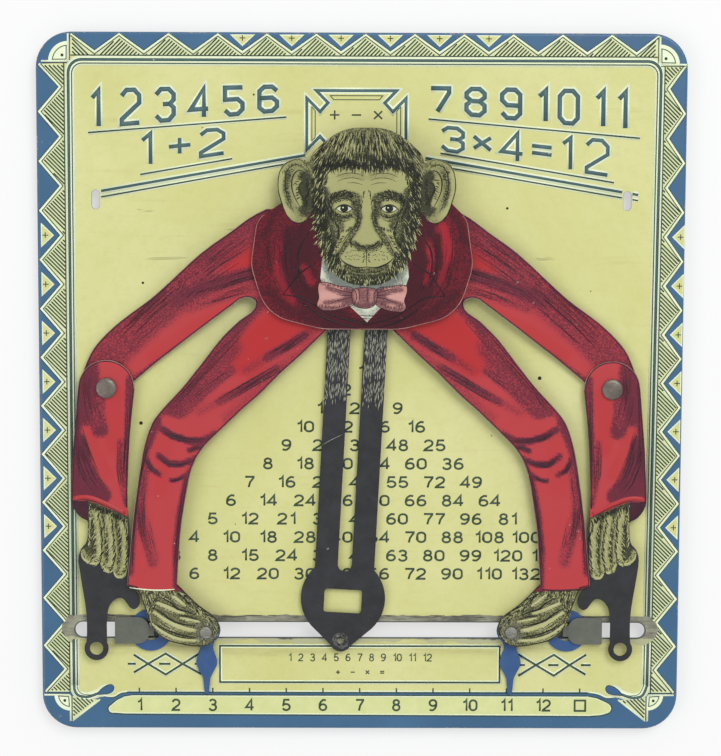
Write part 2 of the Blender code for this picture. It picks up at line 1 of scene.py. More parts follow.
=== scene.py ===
# %% [markdown]
# # A tin arithmetic toy, dressed in its printed colours
#
# The real toy is a pressed tin board with a jointed tin monkey riveted in front of it. Its
# looks are almost all print: flat inks laid on tinplate, then varnished. The moving parts
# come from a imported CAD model, which is loaded here as a fixed frame and never changed.
# Everything below adds ink, wear and light to that frame.

import math
import random

import bmesh
import bpy
import numpy as np
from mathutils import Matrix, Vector
from mathutils.bvhtree import BVHTree
from mathutils.geometry import delaunay_2d_cdt


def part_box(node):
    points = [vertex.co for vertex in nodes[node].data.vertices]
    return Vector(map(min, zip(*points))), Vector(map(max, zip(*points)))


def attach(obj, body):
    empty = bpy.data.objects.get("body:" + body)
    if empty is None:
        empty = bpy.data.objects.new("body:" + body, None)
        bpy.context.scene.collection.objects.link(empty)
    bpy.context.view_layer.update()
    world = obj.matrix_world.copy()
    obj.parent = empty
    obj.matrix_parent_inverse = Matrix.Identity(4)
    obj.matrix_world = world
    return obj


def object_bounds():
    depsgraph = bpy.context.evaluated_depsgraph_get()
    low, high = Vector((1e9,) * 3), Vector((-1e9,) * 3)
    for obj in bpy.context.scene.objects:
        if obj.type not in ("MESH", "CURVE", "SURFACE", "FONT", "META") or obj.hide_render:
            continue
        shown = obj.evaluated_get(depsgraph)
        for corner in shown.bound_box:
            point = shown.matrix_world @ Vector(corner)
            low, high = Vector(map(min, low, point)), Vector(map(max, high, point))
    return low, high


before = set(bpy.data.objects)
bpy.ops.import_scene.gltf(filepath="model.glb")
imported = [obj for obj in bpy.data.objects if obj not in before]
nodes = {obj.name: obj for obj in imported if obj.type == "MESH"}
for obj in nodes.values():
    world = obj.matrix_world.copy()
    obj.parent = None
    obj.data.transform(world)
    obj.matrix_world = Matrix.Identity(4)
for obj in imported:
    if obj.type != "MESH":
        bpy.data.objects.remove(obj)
cad_low, cad_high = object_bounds()
MM = 0.001

# %% [markdown]
# ## Colours
#
# A printer matches ink by eye, and on screen that eye value is an sRGB hex code. Shaders
# work in linear light, so one function turns every code into linear values.

# %% One function for every colour
def linear(code):
    """Turns an sRGB hex code into the linear colour that a shader socket takes."""
    shares = [int(code[i:i + 2], 16) / 255 for i in (0, 2, 4)]
    return tuple(s / 12.92 if s <= 0.04045 else ((s + 0.055) / 1.055) ** 2.4 for s in shares) + (1,)


PALE = "f1fadb"
LINE_GREEN = "2f4331"
SLATE_BLUE = "456266"
print("pale ink in linear light:", [round(c, 3) for c in linear(PALE)])

# %% [markdown]
# ## One small helper for shader nodes
#
# A procedural material is a chain of nodes. Adding a node, setting its properties and
# joining its sockets are always the same three steps, so one helper does them. A value goes
# straight onto a socket. Another node becomes a link from the first output that it offers,
# and one of its other outputs can be named instead. A colour ramp starts with two stops,
# and any stop after those is a new one.

# %% Add a node
def add_node(material, kind, inputs=None, stops=(), **properties):
    """Adds a shader node, sets its properties and ramp stops, and fills or links its inputs."""
    node = material.node_tree.nodes.new("ShaderNode" + kind)
    for key, value in properties.items():
        setattr(node, key, value)
    for index, (position, code) in enumerate(stops):
        ramp = node.color_ramp.elements
        stop = ramp[index] if index < 2 else ramp.new(position)
        stop.position = position
        stop.color = linear(code)
    for key, value in (inputs or {}).items():
        if isinstance(value, bpy.types.Node):
            value = next(socket for socket in value.outputs if socket.enabled)
        if isinstance(value, bpy.types.NodeSocket):
            material.node_tree.links.new(value, node.inputs[key])
        else:
            node.inputs[key].default_value = value
    return node


def empty_material(name):
    """A material without a single node, ready for a chain of our own."""
    material = bpy.data.materials.new(name)
    material.use_nodes = True
    material.node_tree.nodes.clear()
    return material


print("node helper ready")

# %% [markdown]
# ## What all the materials share
#
# Every material ends the same way: a colour, a dullness and a little relief go into one
# surface, with the thin varnish of a printed tin as its extra settings. Most of them also
# have specks. A cell pattern gives every cell a random colour, and only the cells where one
# channel of it is high get a round speck.

# %% Specks and the end of a material
def dress_surface(material, colour, dullness, relief, strength, depth, extra=None):
    """Ends a material: a coloured surface with its own dullness and a relief in millimetres."""
    bumps = add_node(material, "Bump", {
        "Height": relief, "Strength": strength, "Distance": depth * MM})
    skin = add_node(material, "BsdfPrincipled", {
        "Base Color": colour, "Roughness": dullness, "Normal": bumps, **(extra or {})})
    add_node(material, "OutputMaterial", {"Surface": skin})


def speck(material, place, colour, code, pitch, channel, share, far, near, most=1.0):
    """Lays round specks over a colour, in the few cells that drew a high random number."""
    cells = add_node(material, "TexVoronoi", {"Vector": place, "Scale": pitch})
    chance = add_node(material, "SeparateColor", {0: cells.outputs["Color"]})
    lucky = add_node(material, "Math", {0: chance.outputs[channel], 1: share},
                     operation="GREATER_THAN")
    small = add_node(material, "MapRange", {0: cells.outputs["Distance"], 1: far, 2: near, 4: most})
    amount = add_node(material, "Math", {0: small, 1: lucky}, operation="MULTIPLY")
    return add_node(material, "Mix", {0: amount, 6: colour, 7: linear(code)}, data_type="RGBA")


VARNISH = {"Specular IOR Level": 0.3, "Coat Weight": 0.06, "Coat Roughness": 0.3}
print("varnish:", VARNISH)

# %% [markdown]
# ## Camera
#
# The toy was seen from above its upper half, a little off centre, so its lower edge is
# slightly farther away and its sides draw in towards the bottom. The camera's place, turn
# and focal length were solved from the board's straight edges. A full frame sensor, 36 mm
# wide, holds the 721 pixels of the picture's width.

# %% Place the camera
SENSOR = 36.0
FOCAL_PIXELS, PICTURE_PIXELS = 2109.3, 721
CAMERA_PLACE = (-2.74 * MM, 45.2 * MM, 453.0 * MM)
CAMERA_TURN = (-0.0963, -0.0055, 0.0034)
camera_data = bpy.data.cameras.new("camera")
camera_data.sensor_fit = "HORIZONTAL"
camera_data.sensor_width = SENSOR
camera_data.lens = SENSOR * FOCAL_PIXELS / PICTURE_PIXELS
camera = bpy.data.objects.new("camera", camera_data)
camera.location = CAMERA_PLACE
camera.rotation_euler = CAMERA_TURN
bpy.context.scene.collection.objects.link(camera)
bpy.context.scene.camera = camera
bpy.context.scene.view_settings.view_transform = "Standard"
print("lens", round(camera_data.lens, 1), "mm")

# %% [markdown]
# ## Light and floor
#
# Product photographs of flat tin use broad, even light, so that the varnish shows no hot
# spot. An even world does most of that here, and one large soft panel above gives each
# layer a faint shadow on the one below. The floor is white paper: the camera sees part of
# its brightness as its own light, so it reads as a white background and still keeps the
# shadow that the board drops on it.

# %% Light the table
world = bpy.data.worlds.new("soft_studio")
world.use_nodes = True
sky = world.node_tree.nodes["Background"]
sky.inputs["Color"].default_value = linear("ffffff")
sky.inputs["Strength"].default_value = 0.62
bpy.context.scene.world = world


def soft_panel(name, place, width, power):
    """A square area lamp that faces the middle of the toy."""
    data = bpy.data.lights.new(name, "AREA")
    data.size = width
    data.energy = power
    lamp = bpy.data.objects.new(name, data)
    lamp.location = place
    lamp.rotation_euler = (-Vector(place)).to_track_quat("-Z", "Y").to_euler()
    bpy.context.scene.collection.objects.link(lamp)


soft_panel("panel_above", (0.35, 0.55, 0.9), 0.55, 5.2)
soft_panel("panel_side", (-0.7, -0.25, 0.7), 0.5, 1.6)
print(len(bpy.data.lights), "soft panels")

# %% [markdown]
# ## White paper below
#
# The floor is a plain square under the toy. Its material glows a little, but only for the rays
# that the camera sees, straight, in a mirror or through something clear. The light that it
# bounces onto the toy stays that of plain paper.

# %% Lay the floor
paper = empty_material("white_paper_floor")
paths = add_node(paper, "LightPath")
seen = add_node(paper, "Math", {
    0: paths.outputs["Is Camera Ray"], 1: paths.outputs["Is Glossy Ray"]}, operation="MAXIMUM")
seen = add_node(paper, "Math", {0: seen, 1: paths.outputs["Is Transmission Ray"]},
                operation="MAXIMUM")
sheet_white = add_node(paper, "BsdfDiffuse", {"Color": linear("f4f4f4")})
glow = add_node(paper, "Emission", {"Color": linear("ffffff"), "Strength": 1.0})
lit = add_node(paper, "MixShader", {0: 0.55, 1: sheet_white, 2: glow})
both = add_node(paper, "MixShader", {0: seen, 1: sheet_white, 2: lit})
add_node(paper, "OutputMaterial", {"Surface": both})

plane = bmesh.new()
bmesh.ops.create_grid(plane, x_segments=1, y_segments=1, size=1.6)
bmesh.ops.translate(plane, vec=(0, 0, cad_low.z - 0.0003), verts=plane.verts)
floor_mesh = bpy.data.meshes.new("floor")
plane.to_mesh(floor_mesh)
plane.free()
floor_mesh.materials.append(paper)
floor = bpy.data.objects.new("floor", floor_mesh)
bpy.context.scene.collection.objects.link(floor)
print("floor at", round(floor_mesh.vertices[0].co.z / MM, 2), "mm")

# %% [markdown]
# ## Drawing with ink
#
# Every line on the toy was drawn with a pen on a printing stone. A Blender curve can do the
# same: each stroke is a spline, and the curve's extrude, turned flat by a quarter tilt,
# gives it a width. A point's radius is the pen's width there. At a sharp corner the ribbon
# would look thin, so the radius grows by the mitre, one over the cosine of half the turn.
# Six strokes in turn lie a micrometre above each other, because two faces in one plane
# render black where they cross.

# %% Pen strokes
def new_sheet():
    """A curve that collects flat pen strokes, in millimetres."""
    sheet = bpy.data.curves.new("sheet", "CURVE")
    sheet.dimensions = "3D"
    sheet.twist_mode = "Z_UP"
    sheet.extrude = 0.5
    sheet.resolution_u = 3
    return sheet


def mitre(points, index, closed):
    """How much wider a ribbon has to be at a corner to keep its width along the sides."""
    if not closed and index in (0, len(points) - 1):
        return 1.0
    here = Vector(points[index])
    before = (here - Vector(points[index - 1])).normalized()
    after = (Vector(points[(index + 1) % len(points)]) - here).normalized()
    half_turn = math.acos(max(-1.0, min(1.0, before.dot(after)))) / 2
    return 1 / max(math.cos(half_turn), 0.4)


def pen(sheet, points, width, closed=False, smooth=False, ends=(1.0, 1.0)):
    """Draws one stroke. The width is in millimetres, and ends says how much is left of it."""
    spline = sheet.splines.new("BEZIER" if smooth else "POLY")
    marks = spline.bezier_points if smooth else spline.points
    marks.add(len(points) - 1)
    spline.use_cyclic_u = closed
    lift = 0.0012 * (len(sheet.splines) % 6)
    for index, (mark, point) in enumerate(zip(marks, points)):
        share = 2 * index / max(len(points) - 1, 1)
        swell = ends[0] + (1 - ends[0]) * share if share < 1 else 1 + (ends[1] - 1) * (share - 1)
        height = lift + 0.0003 * index
        mark.co = (*point, height) if smooth else (*point, height, 1.0)
        mark.tilt = math.pi / 2
        mark.radius = width * swell * (1.0 if smooth else mitre(points, index, closed))
        if smooth:
            mark.handle_left_type = mark.handle_right_type = "AUTO"


def arc(x, y, radius, start, stop, count=6):
    """Points on an arc in millimetres, with its angles in degrees."""
    turns = np.radians(np.linspace(start, stop, count + 1))
    return [(float(x + radius * math.cos(t)), float(y + radius * math.sin(t))) for t in turns]


print("pen ready")

# %% [markdown]
# ## From flat shapes to a layer of ink
#
# A print is a stack of very thin layers. Strokes and filled shapes are gathered flat, then
# one extrusion gives the whole sheet its thickness, so each sheet is a closed solid. Real
# ink is a few hundredths of a millimetre thick, and each colour here gets its own height, so
# that two colours never share a face.

# %% Strokes as a mesh
def collect(flat, curve):
    """Turns pen strokes into a mesh and adds it to the flat shapes."""
    holder = bpy.data.objects.new("holder", curve)
    bpy.context.scene.collection.objects.link(holder)
    graph = bpy.context.evaluated_depsgraph_get()
    mesh = bpy.data.meshes.new_from_object(holder.evaluated_get(graph))
    bpy.data.objects.remove(holder)
    flat.from_mesh(mesh)
    bpy.data.meshes.remove(mesh)


print("strokes can become faces")

# %% [markdown]
# ## Filled shapes
#
# Where ink covers an area, its outline is filled with triangles. Outlines are lists of
# points. One helper rounds their bends, one moves them inwards, and one fills them.

# %% Round, move and fill outlines
def soft(points):
    """A closed outline through the same points with rounded bends, for filled shapes."""
    found = []
    ring = points[-1:] + points + points[:2]
    for a, b, c, d in zip(ring, ring[1:], ring[2:], ring[3:]):
        for t in (0.0, 0.25, 0.5, 0.75):
            found.append(tuple(
                0.5 * (2 * q + (r - p) * t + (2 * p - 5 * q + 4 * r - s) * t * t
                       + (3 * q - p - 3 * r + s) * t ** 3)
                for p, q, r, s in zip(a, b, c, d)))
    return found


def moved_aside(loop, inset):
    """A closed outline moved to the left of its way by an inset in millimetres."""
    moved = []
    for before, here, after in zip(loop[-1:] + loop[:-1], loop, loop[1:] + loop[:1]):
        before, here, after = Vector(before), Vector(here), Vector(after)
        way = ((here - before).normalized() + (after - here).normalized()).normalized()
        moved.append(tuple(here + inset * Vector((-way.y, way.x))))
    return moved


def fill(flat, outline, holes=()):
    """Fills an outline with triangles, leaving its holes open."""
    loops, marks = [], []
    for loop in (outline, *holes):
        turn = sum(a[0] * b[1] - a[1] * b[0] for a, b in zip(loop, loop[1:] + loop[:1]))
        loop = loop if turn > 0 else loop[::-1]
        loops.append(list(range(len(marks), len(marks) + len(loop))))
        marks += [Vector(point) for point in loop]
    places, _, faces, _, _, owners = delaunay_2d_cdt(marks, [], loops, 1, 1e-5)
    corners = [flat.verts.new((*place, 0.0)) for place in places]
    for face, owner in zip(faces, owners):
        if owner == [0]:
            flat.faces.new([corners[index] for index in face])


print("outlines can be filled")

# %% [markdown]
# ## Thickness, place and body
#
# A flat shape becomes a solid by one extrusion, is scaled from millimetres to metres, and
# then rides on the body of the plate that it is printed on. Lines and shaded areas both end
# this way, so both use the same two functions.

# %% Raise a solid and place it
def thicken(flat, low, high):
    """Raises flat faces to a closed solid between two heights, in millimetres."""
    raised = bmesh.ops.extrude_face_region(flat, geom=flat.faces[:], use_keep_orig=True)
    top = [v for v in raised["geom"] if isinstance(v, bmesh.types.BMVert)]
    bmesh.ops.translate(flat, vec=(0, 0, high - low), verts=top)
    bmesh.ops.translate(flat, vec=(0, 0, low), verts=flat.verts)
    bmesh.ops.recalc_face_normals(flat, faces=flat.faces)


def place_piece(name, solid, material, body):
    """Makes a piece of a solid drawn in millimetres and lets it ride on a body."""
    bmesh.ops.scale(solid, vec=(MM, MM, MM), verts=solid.verts)
    mesh = bpy.data.meshes.new(name)
    solid.to_mesh(mesh)
    solid.free()
    mesh.materials.append(material)
    piece = bpy.data.objects.new(name, mesh)
    bpy.context.scene.collection.objects.link(piece)
    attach(piece, body)
    print(name, len(mesh.polygons), "faces")
    return mesh


print("solids can be placed")

# %% [markdown]
# ## One call for a layer of ink
#
# A layer is made of strokes, of filled faces, or of both. One function gathers what there is
# and presses it, and a shaping function can move every corner on the way.

# %% Gather and press
def gather(sheet, flat):
    """Puts strokes and flat faces together, either of which may be missing."""
    flat = flat or bmesh.new()
    if sheet:
        collect(flat, sheet)
    for loose in [v for v in flat.verts if not v.link_faces]:
        flat.verts.remove(loose)
    return flat


def press(name, low, high, material, body, slot, sheet=None, flat=None, shape=None):
    """Turns strokes and flat faces into one thin solid between two heights, in millimetres."""
    flat = gather(sheet, flat)
    thicken(flat, low, high)
    if shape:
        for corner in flat.verts:
            corner.co = shape(corner.co)
    place_piece(name, flat, material, body)


def filled(*outlines, holes=()):
    """A new flat shape of one or more filled outlines, the first of which can have holes."""
    flat = bmesh.new()
    for index, outline in enumerate(outlines):
        fill(flat, outline, () if index else holes)
    return flat


print("press ready")

# %% [markdown]
# ## The board: blue lithographed tinplate
#
# The board is one sheet of tinplate, printed blue all over its front, and only then pressed,
# so the print runs over the bent rim and has crazed a little along the bend. The back was
# never printed and shows the bright tin. The slot has been rubbed down to grey metal by
# the sliders. All of that can be told apart by height, facing and place, so the CAD node
# keeps its own mesh and only gets this material, in Object coordinates.

# %% Measures of the board
SLOT_Y = -53.1
SLOT_HALF = 1.65
SLOT_END = 61.7
FACE = 3.0
board_low, board_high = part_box("base_board")
print("board", [round(v / MM, 1) for v in (board_high - board_low)], "mm")

# %% Blue ink and where it has flaked
board_tin = empty_material("blue_lithographed_tinplate")
place = add_node(board_tin, "TexCoord").outputs["Object"]
spot = add_node(board_tin, "SeparateXYZ", {0: place})
facing = add_node(board_tin, "NewGeometry")
up = add_node(board_tin, "SeparateXYZ", {0: facing.outputs["Normal"]})
# Clouds 20 mm across shade the blue, as an uneven ink roller does
roller = add_node(board_tin, "TexNoise", {
    "Vector": place, "Scale": 50.0, "Detail": 4.0, "Roughness": 0.6})
blue = add_node(board_tin, "ValToRGB", {0: roller}, stops=((0.32, "375f82"), (0.7, "3f6b8f")))
# Grains of half a millimetre and patches of 6 mm decide where ink has flaked
flakes = add_node(board_tin, "TexNoise", {
    "Vector": place, "Scale": 1900.0, "Detail": 3.0, "Roughness": 0.7})
patches = add_node(board_tin, "TexNoise", {
    "Vector": place, "Scale": 170.0, "Detail": 5.0, "Roughness": 0.65})
# A face that leans away from straight up lies on the bend, where more ink comes off
bend = add_node(board_tin, "MapRange", {0: up.outputs["Z"], 1: 0.98, 2: 0.75, 3: 0.0, 4: 0.17})
worn = add_node(board_tin, "Math", {0: flakes, 1: patches}, operation="ADD")
worn = add_node(board_tin, "Math", {0: worn, 1: bend}, operation="ADD")
worn = add_node(board_tin, "MapRange", {0: worn, 1: 1.27, 2: 1.33})
print("board ink has", len(board_tin.node_tree.nodes), "nodes so far")

# %% [markdown]
# ## Where the board was never printed
#
# The print is only on the front. A face is bare when it looks down, or when it lies below the
# sheet and within the outer walls. The rounded corners lie within those limits too, but
# their outer walls face away from the middle, which one product of place and facing tells.

# %% Tell the printed side from the bare side
UNDER_SHEET, WALL_X, WALL_Y = 2.72, 68.55, 74.55
OUTWARDS, CORNER_SUM = 50.0, 130.0
front = add_node(board_tin, "Math", {0: up.outputs["Z"], 1: -0.2}, operation="GREATER_THAN")
inside = add_node(board_tin, "Math", {0: spot.outputs["Z"], 1: UNDER_SHEET * MM},
                  operation="LESS_THAN")
across = add_node(board_tin, "Math", {0: spot.outputs["X"]}, operation="ABSOLUTE")
along = add_node(board_tin, "Math", {0: spot.outputs["Y"]}, operation="ABSOLUTE")
deep_x = add_node(board_tin, "Math", {0: across, 1: WALL_X * MM}, operation="LESS_THAN")
deep_y = add_node(board_tin, "Math", {0: along, 1: WALL_Y * MM}, operation="LESS_THAN")
hidden = add_node(board_tin, "Math", {0: deep_x, 1: deep_y}, operation="MULTIPLY")
hidden = add_node(board_tin, "Math", {0: hidden, 1: inside}, operation="MULTIPLY")
# The outer walls of the corners are taken out again
away = add_node(board_tin, "VectorMath", {0: place, 1: facing.outputs["Normal"]},
                operation="DOT_PRODUCT")
away = add_node(board_tin, "Math", {0: away.outputs["Value"], 1: OUTWARDS * MM},
                operation="GREATER_THAN")
far = add_node(board_tin, "Math", {0: across, 1: along}, operation="ADD")
far = add_node(board_tin, "Math", {0: far, 1: CORNER_SUM * MM}, operation="GREATER_THAN")
corner = add_node(board_tin, "Math", {0: away, 1: far}, operation="MULTIPLY")
hidden = add_node(board_tin, "Math", {0: hidden, 1: corner}, operation="SUBTRACT", use_clamp=True)
printed = add_node(board_tin, "Math", {0: front, 1: hidden}, operation="SUBTRACT", use_clamp=True)
bare = add_node(board_tin, "Math", {0: 1.0, 1: printed}, operation="SUBTRACT")
metal_mask = add_node(board_tin, "Math", {0: bare, 1: worn}, operation="MAXIMUM")
print("printed side found with", len(board_tin.node_tree.nodes), "nodes so far")

# %% [markdown]
# ## Bare tin
#
# Tin darkens in clouds, and freckles with rust where damp has reached it. The mask from the
# last step then chooses between ink and metal, for the colour and for the shine.

# %% Join ink and tin
cloud = add_node(board_tin, "TexNoise", {
    "Vector": place, "Scale": 90.0, "Detail": 6.0, "Roughness": 0.7})
tin = add_node(board_tin, "ValToRGB", {0: cloud}, stops=((0.3, "6d675c"), (0.62, "aeaba2")))
rust = add_node(board_tin, "MapRange", {0: flakes, 1: 0.66, 2: 0.74})
rusty = add_node(board_tin, "Mix", {0: rust, 6: tin, 7: linear("6b4b35")}, data_type="RGBA")
paint = add_node(board_tin, "Mix", {0: metal_mask, 6: blue, 7: rusty}, data_type="RGBA")
shine = add_node(board_tin, "MapRange", {0: metal_mask, 3: 0.0, 4: 0.55})
dull = add_node(board_tin, "MapRange", {0: cloud, 3: 0.3, 4: 0.5})
dress_surface(board_tin, paint, dull, patches, 0.12, 0.2, {"Metallic": shine})
nodes["base_board"].data.materials[0] = board_tin
print("board finished with", len(board_tin.node_tree.nodes), "nodes")

# %% [markdown]
# ## Printing inks
#
# All other colours on the board are opaque inks under the same thin varnish. They differ in
# hue and in how they age, so one recipe is shared: a clouded colour, fine pinholes where
# the ink missed the tin, and a slightly uneven gloss. The pinholes come from a cell pattern
# with 4 mm between them, and only the cells that drew a high number get one.

# %% The recipe for an ink
def litho_ink(name, code, cloudy, share=0.86, pinhole="c9c6b4"):
    """Varnished lithographic ink on tin, clouded towards a second colour."""
    material = empty_material(name)
    place = add_node(material, "TexCoord").outputs["Object"]
    mottle = add_node(material, "TexNoise", {
        "Vector": place, "Scale": 260.0, "Detail": 5.0, "Roughness": 0.7})
    amount = add_node(material, "MapRange", {0: mottle, 1: 0.36, 2: 0.68})
    body = add_node(material, "Mix", {0: amount, 6: linear(code), 7: linear(cloudy)}, data_type="RGBA")
    colour = speck(material, place, body, pinhole, 250.0, "Red", share, 0.055, 0.03)
    gloss = add_node(material, "MapRange", {0: mottle, 3: 0.34, 4: 0.5})
    dress_surface(material, colour, gloss, mottle, 0.06, 0.1, VARNISH)
    return material


pale_ink = litho_ink("pale_green_lithograph_ink", PALE, "e6f2ca", 0.97, "8f9070")
line_ink = litho_ink("dark_green_lithograph_ink", LINE_GREEN, "4a5c4c", 0.9)
slate_ink = litho_ink("slate_blue_lithograph_ink", SLATE_BLUE, "526f70", 0.8)
strip_ink = litho_ink("pale_yellow_lithograph_ink", "d3d996", "dde2a4", 0.93, "8b8a62")
blue_ink = litho_ink("blue_lithograph_ink", "355a84", "3e658f", 0.9)
tooth_ink = litho_ink("cream_lithograph_ink", "e0e7b8", "d4dda4", 0.95, "8b8a62")
print("inks mixed")

# %% [markdown]
# ## The yellow field and its age
#
# The field is the largest printed colour, so its age shows most: broad clouds where the
# varnish has yellowed, a brown smear below the slot where oily dirt collected, faint
# sideways rubs, and scattered dark specks. Each of them is a pattern of its own size, laid
# over the ink one after another.

# %% Field ink
field_ink = empty_material("aged_yellow_lithograph_ink")
place = add_node(field_ink, "TexCoord").outputs["Object"]
spot = add_node(field_ink, "SeparateXYZ", {0: place})
# Yellowing in clouds of 30 mm
cloud = add_node(field_ink, "TexNoise", {
    "Vector": place, "Scale": 33.0, "Detail": 5.0, "Roughness": 0.55})
colour = add_node(field_ink, "ValToRGB", {0: cloud}, stops=((0.3, "d1d188"), (0.7, "dddda0")))
# Mottling of 2 mm, as thin ink lies on tin
fine = add_node(field_ink, "TexNoise", {
    "Vector": place, "Scale": 520.0, "Detail": 4.0, "Roughness": 0.75})
grain = add_node(field_ink, "MapRange", {0: fine, 1: 0.45, 2: 0.8, 4: 0.35})
colour = add_node(field_ink, "Mix", {0: grain, 6: colour, 7: linear("c2c074")}, data_type="RGBA")
# Rubs run sideways: a noise stretched 12 times along X
stretch = add_node(field_ink, "Mapping", {"Vector": place, "Scale": (1.0, 12.0, 1.0)})
rub = add_node(field_ink, "TexNoise", {
    "Vector": stretch, "Scale": 45.0, "Detail": 6.0, "Roughness": 0.7})
rubbed = add_node(field_ink, "MapRange", {0: rub, 1: 0.58, 2: 0.8, 4: 0.4})
colour = add_node(field_ink, "Mix", {0: rubbed, 6: colour, 7: linear("b9ae6c")}, data_type="RGBA")
# Dirt gathers just above and below the slot
away = add_node(field_ink, "Math", {0: spot.outputs["Y"], 1: (SLOT_Y - 1.2) * MM},
                operation="SUBTRACT")
away = add_node(field_ink, "Math", {0: away}, operation="ABSOLUTE")
near = add_node(field_ink, "MapRange", {
    0: away, 1: 5.6 * MM, 2: 2.4 * MM, 3: 0.0, 4: 0.55}, interpolation_type="SMOOTHSTEP")
smear = add_node(field_ink, "MapRange", {0: rub, 1: 0.32, 2: 0.66})
dirt = add_node(field_ink, "Math", {0: near, 1: smear}, operation="MULTIPLY")
colour = add_node(field_ink, "Mix", {0: dirt, 6: colour, 7: linear("8d8659")}, data_type="RGBA")
# One dark speck in about 7 cells, with 5 mm cells
colour = speck(field_ink, place, colour, "5b5336", 200.0, "Green", 0.86, 0.05, 0.025, 0.8)
gloss = add_node(field_ink, "MapRange", {0: cloud, 3: 0.36, 4: 0.5})
dress_surface(field_ink, colour, gloss, fine, 0.05, 0.1, VARNISH)
print("field ink has", len(field_ink.node_tree.nodes), "nodes")

# %% [markdown]
# ## The saw-tooth border
#
# The field ends in a row of saw teeth on three sides, with the blue ground between them.
# The tooth tips and roots follow from one pitch for the top and one for the sides. The
# printed sheet sat a little askew under the press, so the right border leans, and the same
# small lean is kept here in one function.

# %% Points of the saw teeth
TOP_PITCH = 10.41
SIDE_PITCH = 10.44


def right_line(y):
    """X of the thick border line on the right, which leans outwards towards the top."""
    return 62.85 + 0.0067 * y


left_roots = [(-63.8, 63.4 - SIDE_PITCH * k) for k in range(13)]
left_tips = [(-68.3, 68.62 - SIDE_PITCH * k) for k in range(14)]
left_tips[0], left_tips[13] = (-68.3, 68.2), (-68.3, -66.9)
right_roots = [(right_line(y) + 1.65, y) for x, y in left_roots]
right_tips = [(min(right_line(y) + 5.8, 68.5), y) for x, y in left_tips]
top_roots = [(0.75 + (k - 5.5) * TOP_PITCH, 70.7) for k in range(12)]
top_tips = [(0.75 + (k - 6) * TOP_PITCH, 74.55) for k in range(13)]
top_tips[0], top_tips[12] = (-61.5, 74.55), (62.7, 74.55)


def weave(tips, roots):
    """Tips and roots in turn, as one zigzag."""
    zigzag = [tips[0]]
    for root, tip in zip(roots, tips[1:]):
        zigzag += [root, tip]
    return zigzag


left_teeth = weave(left_tips, left_roots)
right_teeth = weave(right_tips, right_roots)
top_teeth = weave(top_tips, top_roots)
print("teeth:", len(left_roots), "at a side,", len(top_roots), "on top")

# %% [markdown]
# ## The bent edge
#
# Near the rim the tin starts to bend, and the ink bends with it. Straight cuts give the flat
# ink vertices where the bend begins, and a shaping function then lets every corner sink as
# far as the bend has gone down there.

# %% Follow the bent edge
def rounded(x, y, half_x, half_y, radius, count=6):
    """A rounded rectangle round a point, in millimetres."""
    cx, cy = half_x - radius, half_y - radius
    return (arc(x + cx, y + cy, radius, 0, 90, count) + arc(x - cx, y + cy, radius, 90, 180, count)
            + arc(x - cx, y - cy, radius, 180, 270, count)
            + arc(x + cx, y - cy, radius, 270, 360, count))


RIM_X, RIM_Y, RIM_BEND = 68.4, 74.4, 0.6


def over_rim(corner):
    """Lets the ink follow the bent edge of the board, whose bend has a 0.6 mm radius."""
    past = min(max(abs(corner.x) - RIM_X, abs(corner.y) - RIM_Y, 0.0), 0.92 * RIM_BEND)
    return Vector((corner.x, corner.y,
                   corner.z - RIM_BEND + math.sqrt(RIM_BEND ** 2 - past ** 2)))


def slice_at(flat, axis, level):
    """Cuts faces with an upright plane across X (0) or Y (1) and keeps both sides."""
    point, way = [0, 0, 0], [0, 0, 0]
    point[axis], way[axis] = level, 1
    bmesh.ops.bisect_plane(flat, geom=flat.verts[:] + flat.edges[:] + flat.faces[:], dist=1e-5,
                           plane_co=point, plane_no=way)


def crease(flat):
    """Cuts flat ink where the rim starts to bend and twice beyond, so that it can follow."""
    for axis, start in ((0, RIM_X), (1, RIM_Y)):
        for side in (-1, 1):
            for past in (0.0, 0.25, 0.42):
                slice_at(flat, axis, side * (start + past))


print("rim bends", RIM_BEND, "mm beyond x", RIM_X, "and y", RIM_Y)

# %% [markdown]
# ## Laying the field
#
# The field is one filled outline: up the left teeth, over the top, down the right teeth and
# back along the curled foot of the border. Its holes are the slot and the two small card
# slots, a hair wider than the tin, so that no ink hangs over a cut edge.

# %% Press the field
def print_board(name, height, ink, low=0.0, slot="printed_tin", sheet=None, flat=None,
                on_rim=False):
    """Prints one layer of the board, from low to height over the face of the tin."""
    flat = gather(sheet, flat)
    if on_rim:
        crease(flat)
    press(name, FACE + low, FACE + height, ink, "board", slot, flat=flat,
          shape=over_rim if on_rim else None)


BELOW = 0.02
CARD_SLOTS = [(-56.5, 39.7), (56.5, 39.7)]
slot_hole = rounded(0, SLOT_Y, SLOT_END + 0.05, SLOT_HALF + 0.05, SLOT_HALF + 0.05, 10)
card_holes = [rounded(x, y, 0.9, 2.1, 0.9) for x, y in CARD_SLOTS]
foot = [(-62.3, -66.5), (-61, -68.3), (-58.5, -68.4), (-56.5, -67.6), (-54.6, -67.9),
        (-53.5, -67.9), (-52, -67.05), (-50.5, -66.8)]
foot_right = [(49.5, -66.75), (52, -67.2), (53.5, -67.9), (54.8, -67.9), (56.5, -67.6),
              (58.5, -68.4), (61, -68.3), (62.2, -66.5)]
field_edge = (left_teeth[::-1] + [(-62.3, 68.4), (-62, 69)] + top_teeth
              + [(63, 69), (63.4, 68.3)] + right_teeth + [(62.4, -66.9)]
              + foot_right[::-1] + foot[::-1] + [(-62.6, -66.9)])
strip_edge = ([(-49.5, -67.8), (49.5, -67.9), (51.5, -68.3), (53.3, -69.1)]
              + arc(53.6, -70.4, 1.0, 60, -80, 5)
              + [(52.5, -71.75), (50, -71.95), (-51, -71.6), (-53.2, -71.45)]
              + arc(-53.8, -70.7, 0.75, 270, 110, 5) + [(-52.8, -68.9), (-51.2, -68.1)])
